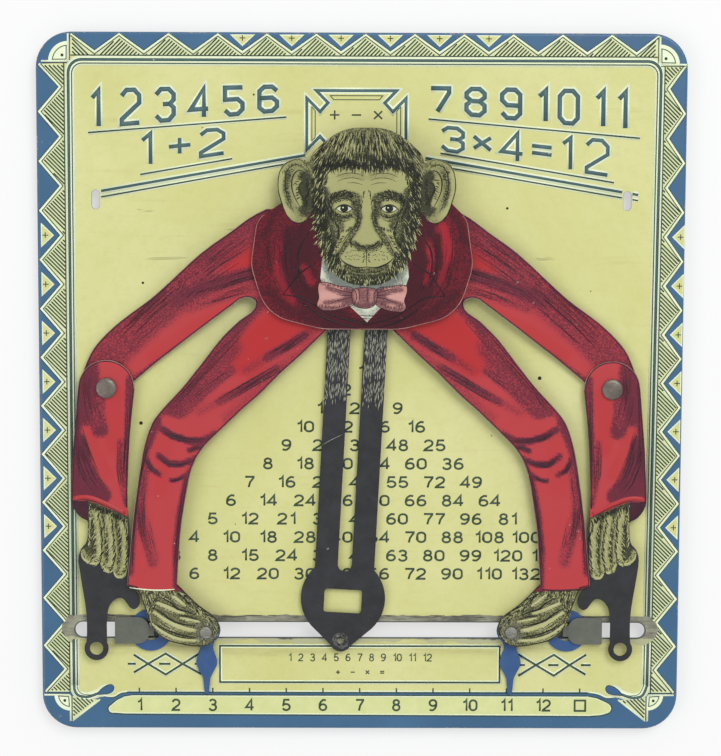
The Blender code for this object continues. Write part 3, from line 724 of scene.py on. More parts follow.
print_board("printed_field", 0.02, field_ink, -BELOW, on_rim=True,
            flat=filled(field_edge, holes=[slot_hole, *card_holes]))
print_board("scale_strip", 0.02, strip_ink, -BELOW, flat=filled(strip_edge))
FOOT_CORNERS = (((-62.9, -67.7), -1), ((62.6, -67.6), 1))
cream = filled(*([(x - side * 0.4, y - 0.2), (x - side * 0.4, y - 5.4), (x - side * 6.1, y - 1.0)]
                 for (x, y), side in FOOT_CORNERS),
               left_teeth + [(-63.1, -66.9), (-63.1, 68.2)],
               right_teeth + [(right_line(-66.9) + 0.9, -66.9), (right_line(68) + 0.9, 68.2)],
               top_teeth + [(62.7, 70.1), (-61.5, 70.1)])
print_board("tooth_cream", 0.026, tooth_ink, on_rim=True, flat=cream)

# %% [markdown]
# ## Pale lines round the colours
#
# Where two colours meet, the printer left a narrow pale line so that a small misfit would
# not show. It runs along every tooth, beside the border lines, round the foot curls and
# round each big numeral. These strokes are the lowest of the line inks.

# %% Press the pale lines
def border_loop(inset, top, radius):
    """The border line in three strokes, open at the foot and where the slot cuts it."""
    left = -62.1 + inset
    return [[(left, -65.5), (left, -55.3)],
            [(left, -50.4)] + arc(left + radius, top - radius, radius, 180, 90, 6)
            + arc(right_line(67) - inset - radius, top - radius, radius, 90, 0, 6)
            + [(right_line(-50.4) - inset, -50.4)],
            [(right_line(-55.3) - inset, -55.3), (right_line(-65.5) - inset, -65.5)]]


def curl(side, inset=0.0):
    """The thick border line where it turns in at the foot, as a smooth stroke."""
    line = 62.1 if side < 0 else right_line(-66)
    shape = [(line, -65.3), (61.9, -66.8), (61.2, -67.7), (60, -68), (59, -68),
             (57.5, -67.5), (56, -66.9), (54.6, -66.4)]
    return [(side * (x - inset), y + inset * 0.7) for x, y in shape]


pale = new_sheet()
for teeth in (left_teeth, right_teeth, top_teeth):
    pen(pale, teeth, 0.62)
for stroke in border_loop(0.15, 69.0, 2.8):
    pen(pale, stroke, 2.2)
for side in (-1, 1):
    pen(pale, curl(side, 0.1), 1.9, smooth=True)
    pen(pale, [(side * 56.6, -67.1), (side * 55.2, -66.55), (side * 53.3, -66.3)], 2.7,
        smooth=True, ends=(0.8, 0.7))
    edge = foot if side < 0 else foot_right
    pen(pale, edge, 0.35, smooth=True)
pen(pale, [(-51, -66.72), (49.8, -66.68)], 0.3)
pen(pale, strip_edge, 0.28, closed=True)
# Corner blocks: a quarter disc between two lines, with the angle where it starts
CORNERS = [((-62.1, 68.8), -1, 1, 4.2, 90), ((63, 68.5), 1, 1, 4.2, 0),
           ((-62.9, -67.6), -1, -1, 3.5, 180), ((62.6, -67.45), 1, -1, 3.4, 270)]
corner_fill = bmesh.new()
for (x, y), side, rise, radius, start in CORNERS:
    pen(pale, [(x, y + rise * 0.2), (x, y + rise * 5.8)], 0.38)
    pen(pale, [(x + side * 0.2, y), (x + side * 5.7, y)], 0.38)
    fill(corner_fill, [(x, y)] + arc(x, y, radius, start, start + 90, 8))
for (x, y), side in FOOT_CORNERS:
    pen(pale, [(x - side * 0.4, y - 5.6), (x - side * 6.4, y - 0.9)], 0.4)
print_board("pale_outlines", 0.032, pale_ink, sheet=pale, flat=corner_fill, on_rim=True)

# %% [markdown]
# ## Fine dark lines and hatching
#
# The teeth are hatched with parallel lines 0.62 mm apart. Each tooth is a triangle, so one
# function cuts a family of slanting lines to a triangle and draws what is left. The same
# ink draws the thin lines beside the border, the corner blocks and the small plus signs.

# %% Hatch a triangle
HATCH_PITCH, HATCH_WIDTH, HATCH_INSET = 0.62, 0.31, 0.14


def hatch(sheet, corners, slope):
    """Draws parallel lines of one slope, cut to a triangle."""
    way = Vector((1, slope)).normalized()
    across = Vector((-way.y, way.x))
    points = [Vector(c) for c in corners]
    reach = [p.dot(across) for p in points]
    level = math.ceil(min(reach) / HATCH_PITCH) * HATCH_PITCH
    while level < max(reach):
        cuts = []
        for a, b in zip(points, points[1:] + points[:1]):
            da, db = a.dot(across) - level, b.dot(across) - level
            if da * db < 0:
                cuts.append(a + (b - a) * (da / (da - db)))
        if len(cuts) == 2 and (cuts[0] - cuts[1]).length > 0.5:
            cuts.sort(key=lambda p: p.dot(way))
            pen(sheet, [cuts[0] + way * HATCH_INSET, cuts[1] - way * HATCH_INSET], HATCH_WIDTH)
        level += HATCH_PITCH


print("hatching every", HATCH_PITCH, "mm")

# %% Press the fine lines
fine_lines = new_sheet()
LEFT_GATE, TOP_GATE = -63.0, 70.05
for roots, tips, inwards in ((left_roots, left_tips, 0.5), (right_roots, right_tips, -0.5)):
    for root, tip, below in zip(roots, tips[1:], roots[1:]):
        gate = LEFT_GATE if inwards > 0 else right_line(root[1]) + 0.8
        hatch(fine_lines, [(gate, root[1] - 0.2), (tip[0] + inwards, tip[1]),
                           (gate, below[1] + 0.2)], -1)
for root, tip, beside in zip(top_roots, top_tips[1:], top_roots[1:]):
    hatch(fine_lines, [(root[0] + 0.3, TOP_GATE), (tip[0], tip[1] - 0.7),
                       (beside[0] - 0.3, TOP_GATE)], 1)
# The half teeth at the ends of the rows
for corners, slope in (([(-61.3, 70), (-61.3, 74.4), (-57, 70)], -1),
                       ([(62.1, 70), (62.1, 74.4), (58.3, 70)], 1),
                       ([(-63, 68), (-67.6, 68), (-63, 63.8)], -1),
                       ([(64.1, 68), (68, 68), (64.1, 63.8)], -1),
                       ([(-63, -66.7), (-67.6, -66.7), (-63, -62.3)], -1),
                       ([(63.2, -66.7), (67.4, -66.7), (63.2, -62.3)], -1)):
    hatch(fine_lines, corners, slope)
for (x, y), side in FOOT_CORNERS:
    hatch(fine_lines, [(x - side * 0.5, y - 0.3), (x - side * 0.5, y - 5.0),
                       (x - side * 5.6, y - 1.0)], -1)
# A dark line just inside the teeth, the gate line and the thin inner line
for teeth, dx, dy in ((left_teeth, 0.42, 0), (right_teeth, -0.42, 0), (top_teeth, 0, -0.42)):
    pen(fine_lines, [(x + dx, y + dy) for x, y in teeth], 0.2)
    pen(fine_lines, [(max(-68.8, min(68.8, x - dx)), min(y - dy, 74.8)) for x, y in teeth], 0.16)
pen(fine_lines, [(-63, -66.9), (-63, 68.3)], 0.25)
pen(fine_lines, [(right_line(-66.9) + 0.8, -66.9), (right_line(68) + 0.8, 68.0)], 0.25)
pen(fine_lines, [(-61.6, 70.05), (62.5, 70.05)], 0.25)
for stroke in border_loop(0.72, 68.38, 2.2):
    pen(fine_lines, stroke, 0.24)
for side in (-1, 1):
    pen(fine_lines, curl(side, 0.62)[:-1], 0.16, smooth=True)
for (x, y), side, rise, radius, start in CORNERS:
    inner = [(x + side * 0.4, y + rise * 0.4)] + arc(x, y, radius - 0.9, start + 6, start + 84, 8)
    pen(fine_lines, inner, 0.2, closed=True)
    pen(fine_lines, arc(x + side * 1.25, y + rise * 1.25, 0.16, 0, 300, 6), 0.33, closed=True)
    pen(fine_lines, [(x - side * 0.35, y + rise * 0.2), (x - side * 0.35, y + rise * 5.6)], 0.18)
    pen(fine_lines, [(x + side * 0.2, y - rise * 0.38), (x + side * 5.4, y - rise * 0.38)], 0.18)
print_board("hatched_border", 0.044, line_ink, sheet=fine_lines, on_rim=True)

# %% [markdown]
# ## Small windows in the blue teeth
#
# The middle blue teeth each carry a small pale triangle with a plus sign in it. The pale
# triangles are filled shapes, and the plus signs are two short strokes each.

# %% Press the tooth windows
PLUS_REACH, PLUS_WIDTH = 0.6, 0.2
windows = bmesh.new()
pluses = new_sheet()
window_places = ([([(x - 2.4, 74.38), (x + 2.4, 74.38), (x, 72.15)], x, 73.75)
                  for x, y in top_roots[3:9]]
                 + [([(-68.1, y - 2.4), (-68.1, y + 2.4), (-65.6, y)], -67.3, y)
                    for x, y in left_roots[3:10]]
                 + [([(x + 4.1, y - 2.4), (x + 4.1, y + 2.4), (x + 1.65, y)], x + 3.3, y)
                    for x, y in right_roots[3:10]])
window_rims = new_sheet()
for corners, x, y in window_places:
    fill(windows, corners)
    pen(window_rims, corners, 0.24, closed=True)
    pen(pluses, [(x - PLUS_REACH, y), (x + PLUS_REACH, y)], PLUS_WIDTH)
    pen(pluses, [(x, y - PLUS_REACH), (x, y + PLUS_REACH)], PLUS_WIDTH)
print_board("window_rims", 0.034, pale_ink, sheet=window_rims, on_rim=True)
print_board("tooth_windows", 0.028, field_ink, -BELOW, flat=windows, on_rim=True)
print_board("tooth_plus_signs", 0.046, line_ink, sheet=pluses, on_rim=True)

# %% [markdown]
# ## Border lines, curls and rules
#
# The heaviest line of the border is blue-green and half a millimetre wide. It turns in at
# the foot and ends in a drop. The two slanting rules below the big numerals are of the
# same kind, one thick and one thin.

# %% Press the heavy lines
heavy, fine_heavy = new_sheet(), new_sheet()
for stroke in border_loop(0.0, 69.15, 2.8):
    pen(heavy, stroke, 0.34)
    pen(fine_heavy, stroke, 0.6)
drops, drop_edges = bmesh.new(), new_sheet()
for side in (-1, 1):
    pen(heavy, curl(side), 0.3, smooth=True, ends=(1.0, 1.6))
    pen(fine_heavy, curl(side), 0.56, smooth=True)
    drop = [(-2.1, -0.5), (-1, -0.72), (0.2, -0.85), (1.15, -0.6), (1.5, 0.1), (1.2, 0.8),
            (0.4, 1.05), (-0.6, 0.8), (-1.5, 0.25)]
    drop = soft([(side * (54.95 - x), -66.5 + y + 0.22 * x) for x, y in drop])
    fill(drops, drop)
    pen(drop_edges, drop, 0.2, closed=True)
# The two slanting rules stop at the card slots, and the right ones go on behind theirs
THICK_RULES = [[(-55.35, 41.5), (-12, 49.2)], [(13.5, 48.7), (55.4, 41.59)],
               [(57.6, 41.22), (58.8, 41.01)]]
for points in THICK_RULES:
    pen(heavy, points, 0.55)
print_board("border_line_edges", 0.048, line_ink, sheet=fine_heavy)
print_board("heavy_border_lines", 0.05, slate_ink, sheet=heavy, on_rim=True)
print_board("blue_drops", 0.062, blue_ink, flat=drops)
# The strip and the foot of the border are edged in dark green on their blue side
pen(drop_edges, [(x, y - 0.26) for x, y in foot[4:]], 0.16, smooth=True)
pen(drop_edges, [(x, y - 0.26) for x, y in foot_right[:4]], 0.16, smooth=True)
pen(drop_edges, [(-50.6, -67.02), (49.5, -67.02)], 0.2)
pen(drop_edges, moved_aside(strip_edge, 0.25), 0.22, closed=True)
print_board("drop_outlines", 0.066, line_ink, sheet=drop_edges)

# %% [markdown]
# ## Big numerals with chamfered corners
#
# The upper part of the board carries large figures drawn with straight strokes and cut
# corners, growing towards the outer edges. They are plain arithmetic: the numbers one to
# twelve and two small sums. Each figure is a few straight strokes in a unit box.

# %% Strokes of each figure
C, W = 0.17, 0.62
FIGURES = {
    "0": [[(C, 0), (W - C, 0), (W, C), (W, 1 - C), (W - C, 1), (C, 1), (0, 1 - C), (0, C)]],
    "1": [[(0.12, 0.8), (0.34, 1), (0.34, 0)]],
    "2": [[(0, 1 - C), (C, 1), (W - C, 1), (W, 1 - C), (W, 0.6), (0, 0.14), (0, 0), (W, 0)]],
    "3": [[(0, 1 - C), (C, 1), (W - C, 1), (W, 1 - C), (W, 0.65), (W - C * 0.8, 0.52),
           (W, 0.39), (W, C), (W - C, 0), (C, 0), (0, C)], [(0.24, 0.52), (W - C * 0.8, 0.52)]],
    "4": [[(W * 0.76, 0), (W * 0.76, 1), (0, 0.28), (W, 0.28)]],
    "5": [[(W, 1), (0, 1), (0, 0.56), (W - C, 0.56), (W, 0.56 - C), (W, C), (W - C, 0),
           (C, 0), (0, C)]],
    "6": [[(W, 1 - C), (W - C, 1), (C, 1), (0, 1 - C), (0, C), (C, 0), (W - C, 0), (W, C),
           (W, 0.55 - C), (W - C, 0.55), (0, 0.55)]],
    "7": [[(0, 1), (W, 1), (W, 0.82), (W * 0.36, 0)]],
    "8": [[(C, 0.53), (0, 0.68), (0, 1 - C), (C, 1), (W - C, 1), (W, 1 - C), (W, 0.68),
           (W - C, 0.53), (C, 0.53), (0, 0.38), (0, C), (C, 0), (W - C, 0), (W, C), (W, 0.38),
           (W - C, 0.53)]],
    "9": [[(0, C), (C, 0), (W - C, 0), (W, C), (W, 1 - C), (W - C, 1), (C, 1), (0, 1 - C),
           (0, 0.45 + C), (C, 0.45), (W, 0.45)]],
    "+": [[(0.02, 0.5), (W - 0.02, 0.5)], [(W / 2, 0.22), (W / 2, 0.78)]],
    "-": [[(0.02, 0.5), (W - 0.02, 0.5)]],
    "x": [[(0.06, 0.26), (W - 0.06, 0.74)], [(0.06, 0.74), (W - 0.06, 0.26)]],
    "=": [[(0.02, 0.38), (W - 0.02, 0.38)], [(0.02, 0.62), (W - 0.02, 0.62)]],
    "/": [[(0.02, 0.5), (W - 0.02, 0.5)], [(W / 2 - 0.04, 0.76), (W / 2 + 0.04, 0.76)],
          [(W / 2 - 0.04, 0.24), (W / 2 + 0.04, 0.24)]],
}
print(len(FIGURES), "figures and signs")

# %% [markdown]
# ## A row that leans
#
# The figures of a row stand between a top line and a base line that both slope, so the box
# of each figure is leaned between the two.

# %% Set a row
def row(sheets, text, left, right, tops, bases):
    """Draws a row of figures between two x, with tops and bases that run from left to right."""
    widths = [0.34 if c == " " else (0.5 if c == "1" else W) + 0.26 for c in text]
    total = sum(widths) - 0.26
    at = 0.0
    for mark, width in zip(text, widths):
        for stroke in FIGURES.get(mark, []):
            points = []
            for u, v in stroke:
                share = (at + u - (0.06 if mark == "1" else 0)) / total
                x = left + (right - left) * share
                top = tops[0] + (tops[1] - tops[0]) * share
                base = bases[0] + (bases[1] - bases[0]) * share
                points.append((x, base + (top - base) * v))
            closed = mark == "0"
            for sheet, thickness in sheets:
                pen(sheet, points, thickness, closed=closed)
        at += width


print("rows ready")

# %% [markdown]
# ## Rows of figures
#
# Each row is drawn twice, wide in pale ink and narrow in slate ink, which gives every figure
# its pale edge. The thin rules between the rows are gathered for a later sheet.

# %% Press the numerals
halo, figures = new_sheet(), new_sheet()
both_sheets = ((halo, 1.75), (figures, 0.95))
row(both_sheets, "1 2 3 4 5 6", -57.4, -18.0, (62.6, 63.6), (55, 58.6))
row(both_sheets, "7 8 9 10 11", 14.6, 57.2, (63.4, 62.7), (58.6, 55))
row(((halo, 1.5), (figures, 0.8)), "1+2", -47.0, -29.3, (53.5, 54.6), (46.9, 49.6))
row(((halo, 1.5), (figures, 0.8)), "3x4=12", 17.0, 52.2, (55.2, 52.4), (50.5, 45.2))
thin = new_sheet()
for points in ([(-58, 53.8), (-16, 57.2)], [(-47, 45), (-27.5, 48.4)], [(14.1, 56.9), (59, 53)],
               [(16.7, 49.7), (53.6, 43.6)], [(-55.35, 40.23), (-12, 48.1)],
               [(14.5, 47.3), (55.4, 40.39)], [(57.6, 40.02), (58.8, 39.82)]):
    pen(halo, points, 0.95)
    pen(thin, points, 0.32)
for points in THICK_RULES:
    pen(halo, points, 1.3)
print_board("numeral_halos", 0.034, pale_ink, sheet=halo)
print_board("big_numerals", 0.052, slate_ink, sheet=figures)

# %% [markdown]
# ## The strapwork frame
#
# Behind the head stands a small frame with notched corners, a common printer's ornament.
# A quarter of its path is written once and turned round the centre. Plain signs of
# arithmetic fill it.

# %% Press the frame and small ornaments
frame_x, frame_y = -1.17, 55.8
quarter = [(8.5, 7), (6, 4.45), (7.7, 2.6), (10.5, 5.4)]
loop = (quarter + [(x, -y) for x, y in quarter[::-1]] + [(-x, -y) for x, y in quarter]
        + [(-x, y) for x, y in quarter[::-1]])
strap = new_sheet()
strap_halo = new_sheet()
outline = [(frame_x + x, frame_y + y) for x, y in loop]
pen(strap_halo, outline, 1.35, closed=True)
pen(strap, outline, 0.65, closed=True)
for x, y, sign in ((-4.6, 1.9, "+"), (0.0, 1.9, "-"), (4.6, 1.9, "x"), (-2.4, -2.6, "="),
                   (2.4, -2.6, "/")):
    for stroke in FIGURES[sign]:
        pen(thin, [(frame_x + x + (u - W / 2) * 3.4, frame_y + y + (v - 0.5) * 3.4)
                   for u, v in stroke], 0.32)
pen(thin, [(-6.7, 61.75), (4.4, 61.75), (3.7, 60.9), (-6, 60.9)], 0.18, closed=True)
for x, inner in ((-10.6, -9.9), (8.2, 7.4)):
    pen(thin, [(x, 59.4), (x, 52.2), (inner, 53.0), (inner, 58.6)], 0.18, closed=True)
print_board("strapwork_halo", 0.036, pale_ink, sheet=strap_halo)
print_board("strapwork_frame", 0.054, slate_ink, sheet=strap)

# %% [markdown]
# ## Crossed diamonds and the ruled panel
#
# Left and right of the scale is a diamond drawn with two crossing zigzags and three
# dashes. Between them is a ruled panel. It holds plain numbers and signs in small type.

# %% Draw the diamonds and the panel
def diamonds(sheet, centre, cross_left, cross_right, ends, dashes, width):
    """Two crossing lines that make a diamond, with short dashes between them."""
    (cx, cy), y = centre, centre[1]
    upper, lower = (cx, cy + 2.25), (cx, cy - 2.35)
    for a, b in ((upper, lower), (lower, upper)):
        pen(sheet, [ends[0] if a is upper else ends[1], (cross_left, y), b, (cross_right, y),
                    ends[2] if a is upper else ends[3]], width)
    for x0, x1 in dashes:
        pen(sheet, [(x0, y), (x1, y)], width)


ornament, ornament_halo = new_sheet(), new_sheet()
for sheet, width in ((ornament, 0.46), (ornament_halo, 1.0)):
    diamonds(sheet, (-42.2, -60.7), -46.0, -38.5,
             ((-49.1, -58.7), (-49.1, -62.6), (-34.3, -58), (-34.4, -63)),
             ((-43.6, -41.2), (-50.4, -48.7), (-35.9, -34.6)), width)
    diamonds(sheet, (42.1, -60.8), 38.2, 45.5,
             ((34.3, -58.4), (34.4, -63.2), (49.1, -58.5), (49, -62.9)),
             ((40.9, 43.1), (48, 50.1), (34.5, 35.8)), width)
    pen(sheet, [(-30.4, -56.7), (30.3, -56.7), (30.3, -64.7), (-30.4, -64.7)],
        width * 0.86, closed=True)
print_board("ornament_halos", 0.038, pale_ink, sheet=ornament_halo)
print_board("diamonds_and_panel", 0.056, line_ink, sheet=ornament)

# %% [markdown]
# ## The scale and the table of products
#
# The two pointers stand on two numbers of the scale, and the window in the tail then frames
# their product. The table is plain arithmetic: the entry in column a of row d is a times
# a + d, and every row ends in a square. Computing it is surer than copying it. The
# numerals are a round, even-lined sans, so they too are drawn with the pen: each is a few
# arcs and straight lines in a box that is one unit high.

# %% Strokes of the round numerals
ROUND = {
    "0": [arc(0.32, 0.68, 0.27, 0, 180, 7) + [(0.05, 0.32)] + arc(0.32, 0.32, 0.27, 180, 360, 7)
          + [(0.59, 0.68)]],
    "1": [[(0.1, 0.76), (0.28, 0.84), (0.36, 1), (0.36, 0)]],
    "2": [arc(0.32, 0.70, 0.27, 170, -20, 8) + [(0.5, 0.48), (0.08, 0.12), (0.04, 0.03),
                                               (0.62, 0.03)]],
    "3": [arc(0.31, 0.74, 0.235, 160, -80, 8), arc(0.31, 0.27, 0.27, 90, -165, 9),
          [(0.22, 0.52), (0.34, 0.52)]],
    "4": [[(0.47, 0), (0.47, 0.97), (0.04, 0.28), (0.64, 0.28)]],
    "5": [[(0.57, 0.97), (0.16, 0.97), (0.09, 0.5)] + arc(0.32, 0.31, 0.28, 128, -160, 10)],
    "6": [arc(0.32, 0.30, 0.27, 0, 345, 12) + [(0.59, 0.3)],
          arc(0.38, 0.62, 0.34, 60, 100, 3) + [(0.16, 0.8), (0.07, 0.6), (0.05, 0.3)]],
    "7": [[(0.04, 0.97), (0.6, 0.97), (0.6, 0.9), (0.36, 0.45), (0.27, 0)]],
    "8": [arc(0.32, 0.755, 0.215, 0, 345, 12) + [(0.535, 0.755)],
          arc(0.32, 0.28, 0.26, 0, 345, 12) + [(0.58, 0.28)]],
    "9": [arc(0.32, 0.70, 0.27, 0, 345, 12) + [(0.59, 0.7)],
          [(0.59, 0.7), (0.57, 0.4), (0.48, 0.2)] + arc(0.26, 0.38, 0.34, 280, 235, 3)],
    "+": [[(0.06, 0.46), (0.6, 0.46)], [(0.33, 0.19), (0.33, 0.73)]],
    "-": [[(0.06, 0.46), (0.6, 0.46)]],
    "x": [[(0.1, 0.22), (0.56, 0.7)], [(0.1, 0.7), (0.56, 0.22)]],
    "=": [[(0.06, 0.34), (0.6, 0.34)], [(0.06, 0.58), (0.6, 0.58)]],
}


def number(sheet, text, x, y, height, width, wide=1.0):
    """Draws a number centred on a point. The numerals can be made wider than they are drawn."""
    steps = [0.40 if mark == " " else (0.56 if mark == "1" else 0.80) for mark in text]
    at = -(sum(steps) - 0.16) / 2
    for mark, step in zip(text, steps):
        for stroke in ROUND.get(mark, []):
            pen(sheet, [(x + (at + u) * height * wide, y + (v - 0.5) * height)
                        for u, v in stroke], width)
        at += step


print(len(ROUND), "round numerals and signs")

# %% Press the numbers
numbers = new_sheet()
SCALE_X, SCALE_Y, SCALE_STEP = -47.95, -69.75, 7.98
TABLE_X, TABLE_Y, COLUMN, ROW, ROW_SHIFT = -47.83, -40.77, 7.957, 4.0, 3.98
for n in range(1, 13):
    x = SCALE_X + SCALE_STEP * (n - 1)
    number(numbers, str(n), x, SCALE_Y, 2.45, 0.41, 1.12)
    pen(thin, [(x, -66.0), (x, -66.85)], 0.3)
pen(thin, [(46.75, -70.95), (49.05, -70.95), (49.05, -68.65), (46.75, -68.65)], 0.4, closed=True)
pen(thin, [(47.8, -66), (47.8, -66.85)], 0.3)
placed = 0
for d in range(1, 13):
    y = TABLE_Y + ROW * (d - 1)
    entries = [a * (a + d) for a in range(1, 13 - d)] + [(13 - d) ** 2]
    for a, entry in enumerate(entries, start=1):
        number(numbers, str(entry), TABLE_X + COLUMN * (a - 1) + ROW_SHIFT * d, y, 2.3, 0.42, 1.38)
        placed += 1
number(numbers, "1  2  3  4  5  6  7  8  9  10  11  12", 0.0, -59.2, 1.6, 0.24)
number(numbers, "+   -   x   =", 0.0, -62.4, 1.6, 0.24)
print_board("printed_numbers", 0.058, line_ink, sheet=numbers)
print_board("thin_rules_and_ticks", 0.06, line_ink, sheet=thin)
print(placed, "products in the table")

# %% [markdown]
# ## Bare metal round the slot
#
# The sliders have rubbed the print off both sides of the slot and left grey, scratched tin
# with a ragged edge of ink. The rubbed band is a thin solid of its own above the inks: a
# long outline whose edge wanders by a third of a millimetre, with the slot left open.

# %% Press the rubbed band
random.seed(7)
BAND_TOP, BAND_FOOT = -49.95, -55.75
END_X, END_Y, END_RADIUS = 61.4, -52.9, 3.1


def ragged(points, reach):
    """Moves every point of an outline a little, up to a reach in millimetres."""
    return [(x + random.uniform(-reach, reach), y + random.uniform(-reach, reach)) for x, y in points]


upper = [(x, BAND_TOP + 0.12 * math.sin(x * 0.31)) for x in np.arange(62, -62.1, -1.1)]
lower = [(x, BAND_FOOT + 0.35 * math.sin(x * 0.17) + 0.2 * math.sin(x * 0.7))
         for x in np.arange(-62, 62.1, 1.1)]
band = (ragged(upper, 0.14) + ragged(arc(-END_X, END_Y, END_RADIUS, 100, 250, 14), 0.3)
        + ragged(lower, 0.26) + ragged(arc(END_X, END_Y, END_RADIUS, -70, 80, 14), 0.3))
worn_edge = new_sheet()
pen(worn_edge, rounded(0, SLOT_Y, SLOT_END + 0.16, SLOT_HALF + 0.16, SLOT_HALF + 0.16, 10), 0.18,
    closed=True)
for start in np.arange(-60.0, 58.0, 5.0):
    length, height = random.uniform(2.0, 5.5), random.uniform(-0.2, 0.15)
    pen(worn_edge, [(start, -50.05 + height), (start + length / 2, -50.15 + height),
                    (start + length, -50.1 + height)], random.uniform(0.15, 0.4), smooth=True,
        ends=(0.2, 0.2))
print(len(band), "points round the rubbed band")

# %% [markdown]
# ## Rubbed tin
#
# The metal of the band is a grey ramp driven by two patterns: clouds, and a noise stretched
# along the way the sliders move. Towards the lower edge some yellow ink is left over.

# %% Mix the rubbed tin and press the band
rubbed_tin = empty_material("rubbed_tinplate")
place = add_node(rubbed_tin, "TexCoord").outputs["Object"]
spot = add_node(rubbed_tin, "SeparateXYZ", {0: place})
# Sliding scratches run along X, 0.3 mm apart
stretch = add_node(rubbed_tin, "Mapping", {"Vector": place, "Scale": (1.0, 14.0, 1.0)})
scratch = add_node(rubbed_tin, "TexNoise", {
    "Vector": stretch, "Scale": 230.0, "Detail": 6.0, "Roughness": 0.75})
cloud = add_node(rubbed_tin, "TexNoise", {
    "Vector": place, "Scale": 140.0, "Detail": 5.0, "Roughness": 0.7})
tone = add_node(rubbed_tin, "Math", {0: scratch, 1: cloud}, operation="ADD")
tone = add_node(rubbed_tin, "MapRange", {0: tone, 1: 0.75, 2: 1.25})
colour = add_node(rubbed_tin, "ValToRGB", {0: tone},
                  stops=((0.0, "5d5b54"), (1.0, "b4b49e"), (0.45, "8b8a7a")))
# Ink that is left over stays yellow, mostly below the slot
left_over = add_node(rubbed_tin, "MapRange", {
    0: spot.outputs["Y"], 1: -54.2 * MM, 2: -55.6 * MM, 3: 0.0, 4: 0.5})
ink_left = add_node(rubbed_tin, "Math", {0: cloud, 1: left_over}, operation="ADD")
ink_left = add_node(rubbed_tin, "MapRange", {0: ink_left, 1: 0.64, 2: 0.78})
colour = add_node(rubbed_tin, "Mix", {0: ink_left, 6: colour, 7: linear("b4b58e")}, data_type="RGBA")
metal = add_node(rubbed_tin, "MapRange", {0: ink_left, 3: 0.6, 4: 0.0})
dull = add_node(rubbed_tin, "MapRange", {0: scratch, 3: 0.32, 4: 0.6})
dress_surface(rubbed_tin, colour, dull, scratch, 0.35, 0.1, {"Metallic": metal})
print_board("rubbed_slot_band", 0.07, rubbed_tin, slot="bare_steel",
            flat=filled(band, holes=[slot_hole]))
soot_ink = litho_ink("dark_oily_dirt", "4a4a42", "5f5d50", 0.5, "a9a78c")
print_board("slot_dirt_lines", 0.08, soot_ink, slot="bare_steel", sheet=worn_edge)

# %% [markdown]
# ## Printed sheets for the figure
#
# The monkey is made of cut tin plates, each printed before it was cut. Its print is a
# second kind of ink layer: not lines, but areas with soft crayon shading. Many areas start
# as a copy of the plate's own top face, so they fit the cut edge everywhere, even where the
# plate steps up over its neighbour. Straight cuts then trim such an area to a sleeve or a foot,
# and a grid of cuts gives it the vertices that will carry the shading.

# %% Copy and cut a plate's top face
def top_face(node):
    """The upward faces of a CAD plate as a merged, flat-shaded bmesh in millimetres."""
    sheet = bmesh.new()
    sheet.from_mesh(nodes[node].data)
    bmesh.ops.scale(sheet, vec=(1000, 1000, 1000), verts=sheet.verts)
    bmesh.ops.remove_doubles(sheet, verts=sheet.verts, dist=0.002)
    lower = [f for f in sheet.faces if f.normal.z < 0.5]
    bmesh.ops.delete(sheet, geom=lower, context="FACES")
    bmesh.ops.dissolve_limit(sheet, angle_limit=math.radians(1), verts=sheet.verts,
                             edges=sheet.edges, delimit={"NORMAL"})
    return sheet


def cut(sheet, place, direction):
    """Cuts the sheet with an upright plane and drops what lies on the direction's side."""
    bmesh.ops.bisect_plane(
        sheet, geom=sheet.verts[:] + sheet.edges[:] + sheet.faces[:], dist=1e-5,
        plane_co=(*place, 0), plane_no=(*direction, 0), clear_outer=True)


def grid(sheet, step):
    """Cuts the sheet into squares, so that a value per vertex can draw soft shading."""
    for axis in (0, 1):
        values = [v.co[axis] for v in sheet.verts]
        level = math.floor(min(values) / step) * step + step
        while level < max(values):
            slice_at(sheet, axis, level)
            level += step


print("plates can be cut")

# %% [markdown]
# ## Crayon as a value per vertex
#
# Crayon has no outline. A stroke of it has a core where it is full and a fade where it dies
# away, so it can be told from a point's distance to a line. The result is kept per vertex.

# %% Soft crayon strokes
def distance_to(points, line):
    """Each point's distance to a line of several points, all in millimetres."""
    nearest = np.full(len(points), 1e9)
    for a, b in zip(line, line[1:]):
        a, b = np.array(a, float), np.array(b, float)
        along = np.clip(((points - a) @ (b - a)) / max((b - a) @ (b - a), 1e-9), 0, 1)
        nearest = np.minimum(nearest, np.linalg.norm(points - a - along[:, None] * (b - a), axis=1))
    return nearest


def crayon(points, brushes, start=0.0):
    """Lays soft strokes over each other. A brush is (value, core, fade, line)."""
    value = np.full(len(points), start)
    for target, core, fade, line in brushes:
        share = np.clip((fade - distance_to(points, line)) / (fade - core), 0, 1)
        share = share * share * (3 - 2 * share)
        value = value * (1 - share) + target * share
    return value


print("crayon ready")

# %% [markdown]
# ## Laying a print on a plate
#
# A shaded area is raised like any other ink, and its crayon values are stored per vertex for
# the material to read.

# %% Lay a print
def lay_print(name, sheet, lift, thickness, material, body, slot, **layers):
    """Lays a shaded area on its plate. A layer is its start value and its crayon strokes."""
    thicken(sheet, lift, lift + thickness)
    points = np.array([v.co[:2] for v in sheet.verts])
    mesh = place_piece(name, sheet, material, body)
    for layer, (start, brushes) in layers.items():
        values = mesh.attributes.new(layer, "FLOAT", "POINT")
        values.data.foreach_set("value", crayon(points, brushes, start).astype(np.float32))


print("prints can be laid")

# %% [markdown]
# ## Strokes that follow the tin
#
# A ray from above finds the tin below every corner, so a stroke follows a plate that steps,
# and one that would run off the edge is left away.

# %% Drop strokes onto a plate
def surface(node):
    """A CAD plate as a search tree in millimetres."""
    return BVHTree.FromPolygons([v.co / MM for v in nodes[node].data.vertices],
                                [p.vertices for p in nodes[node].data.polygons])


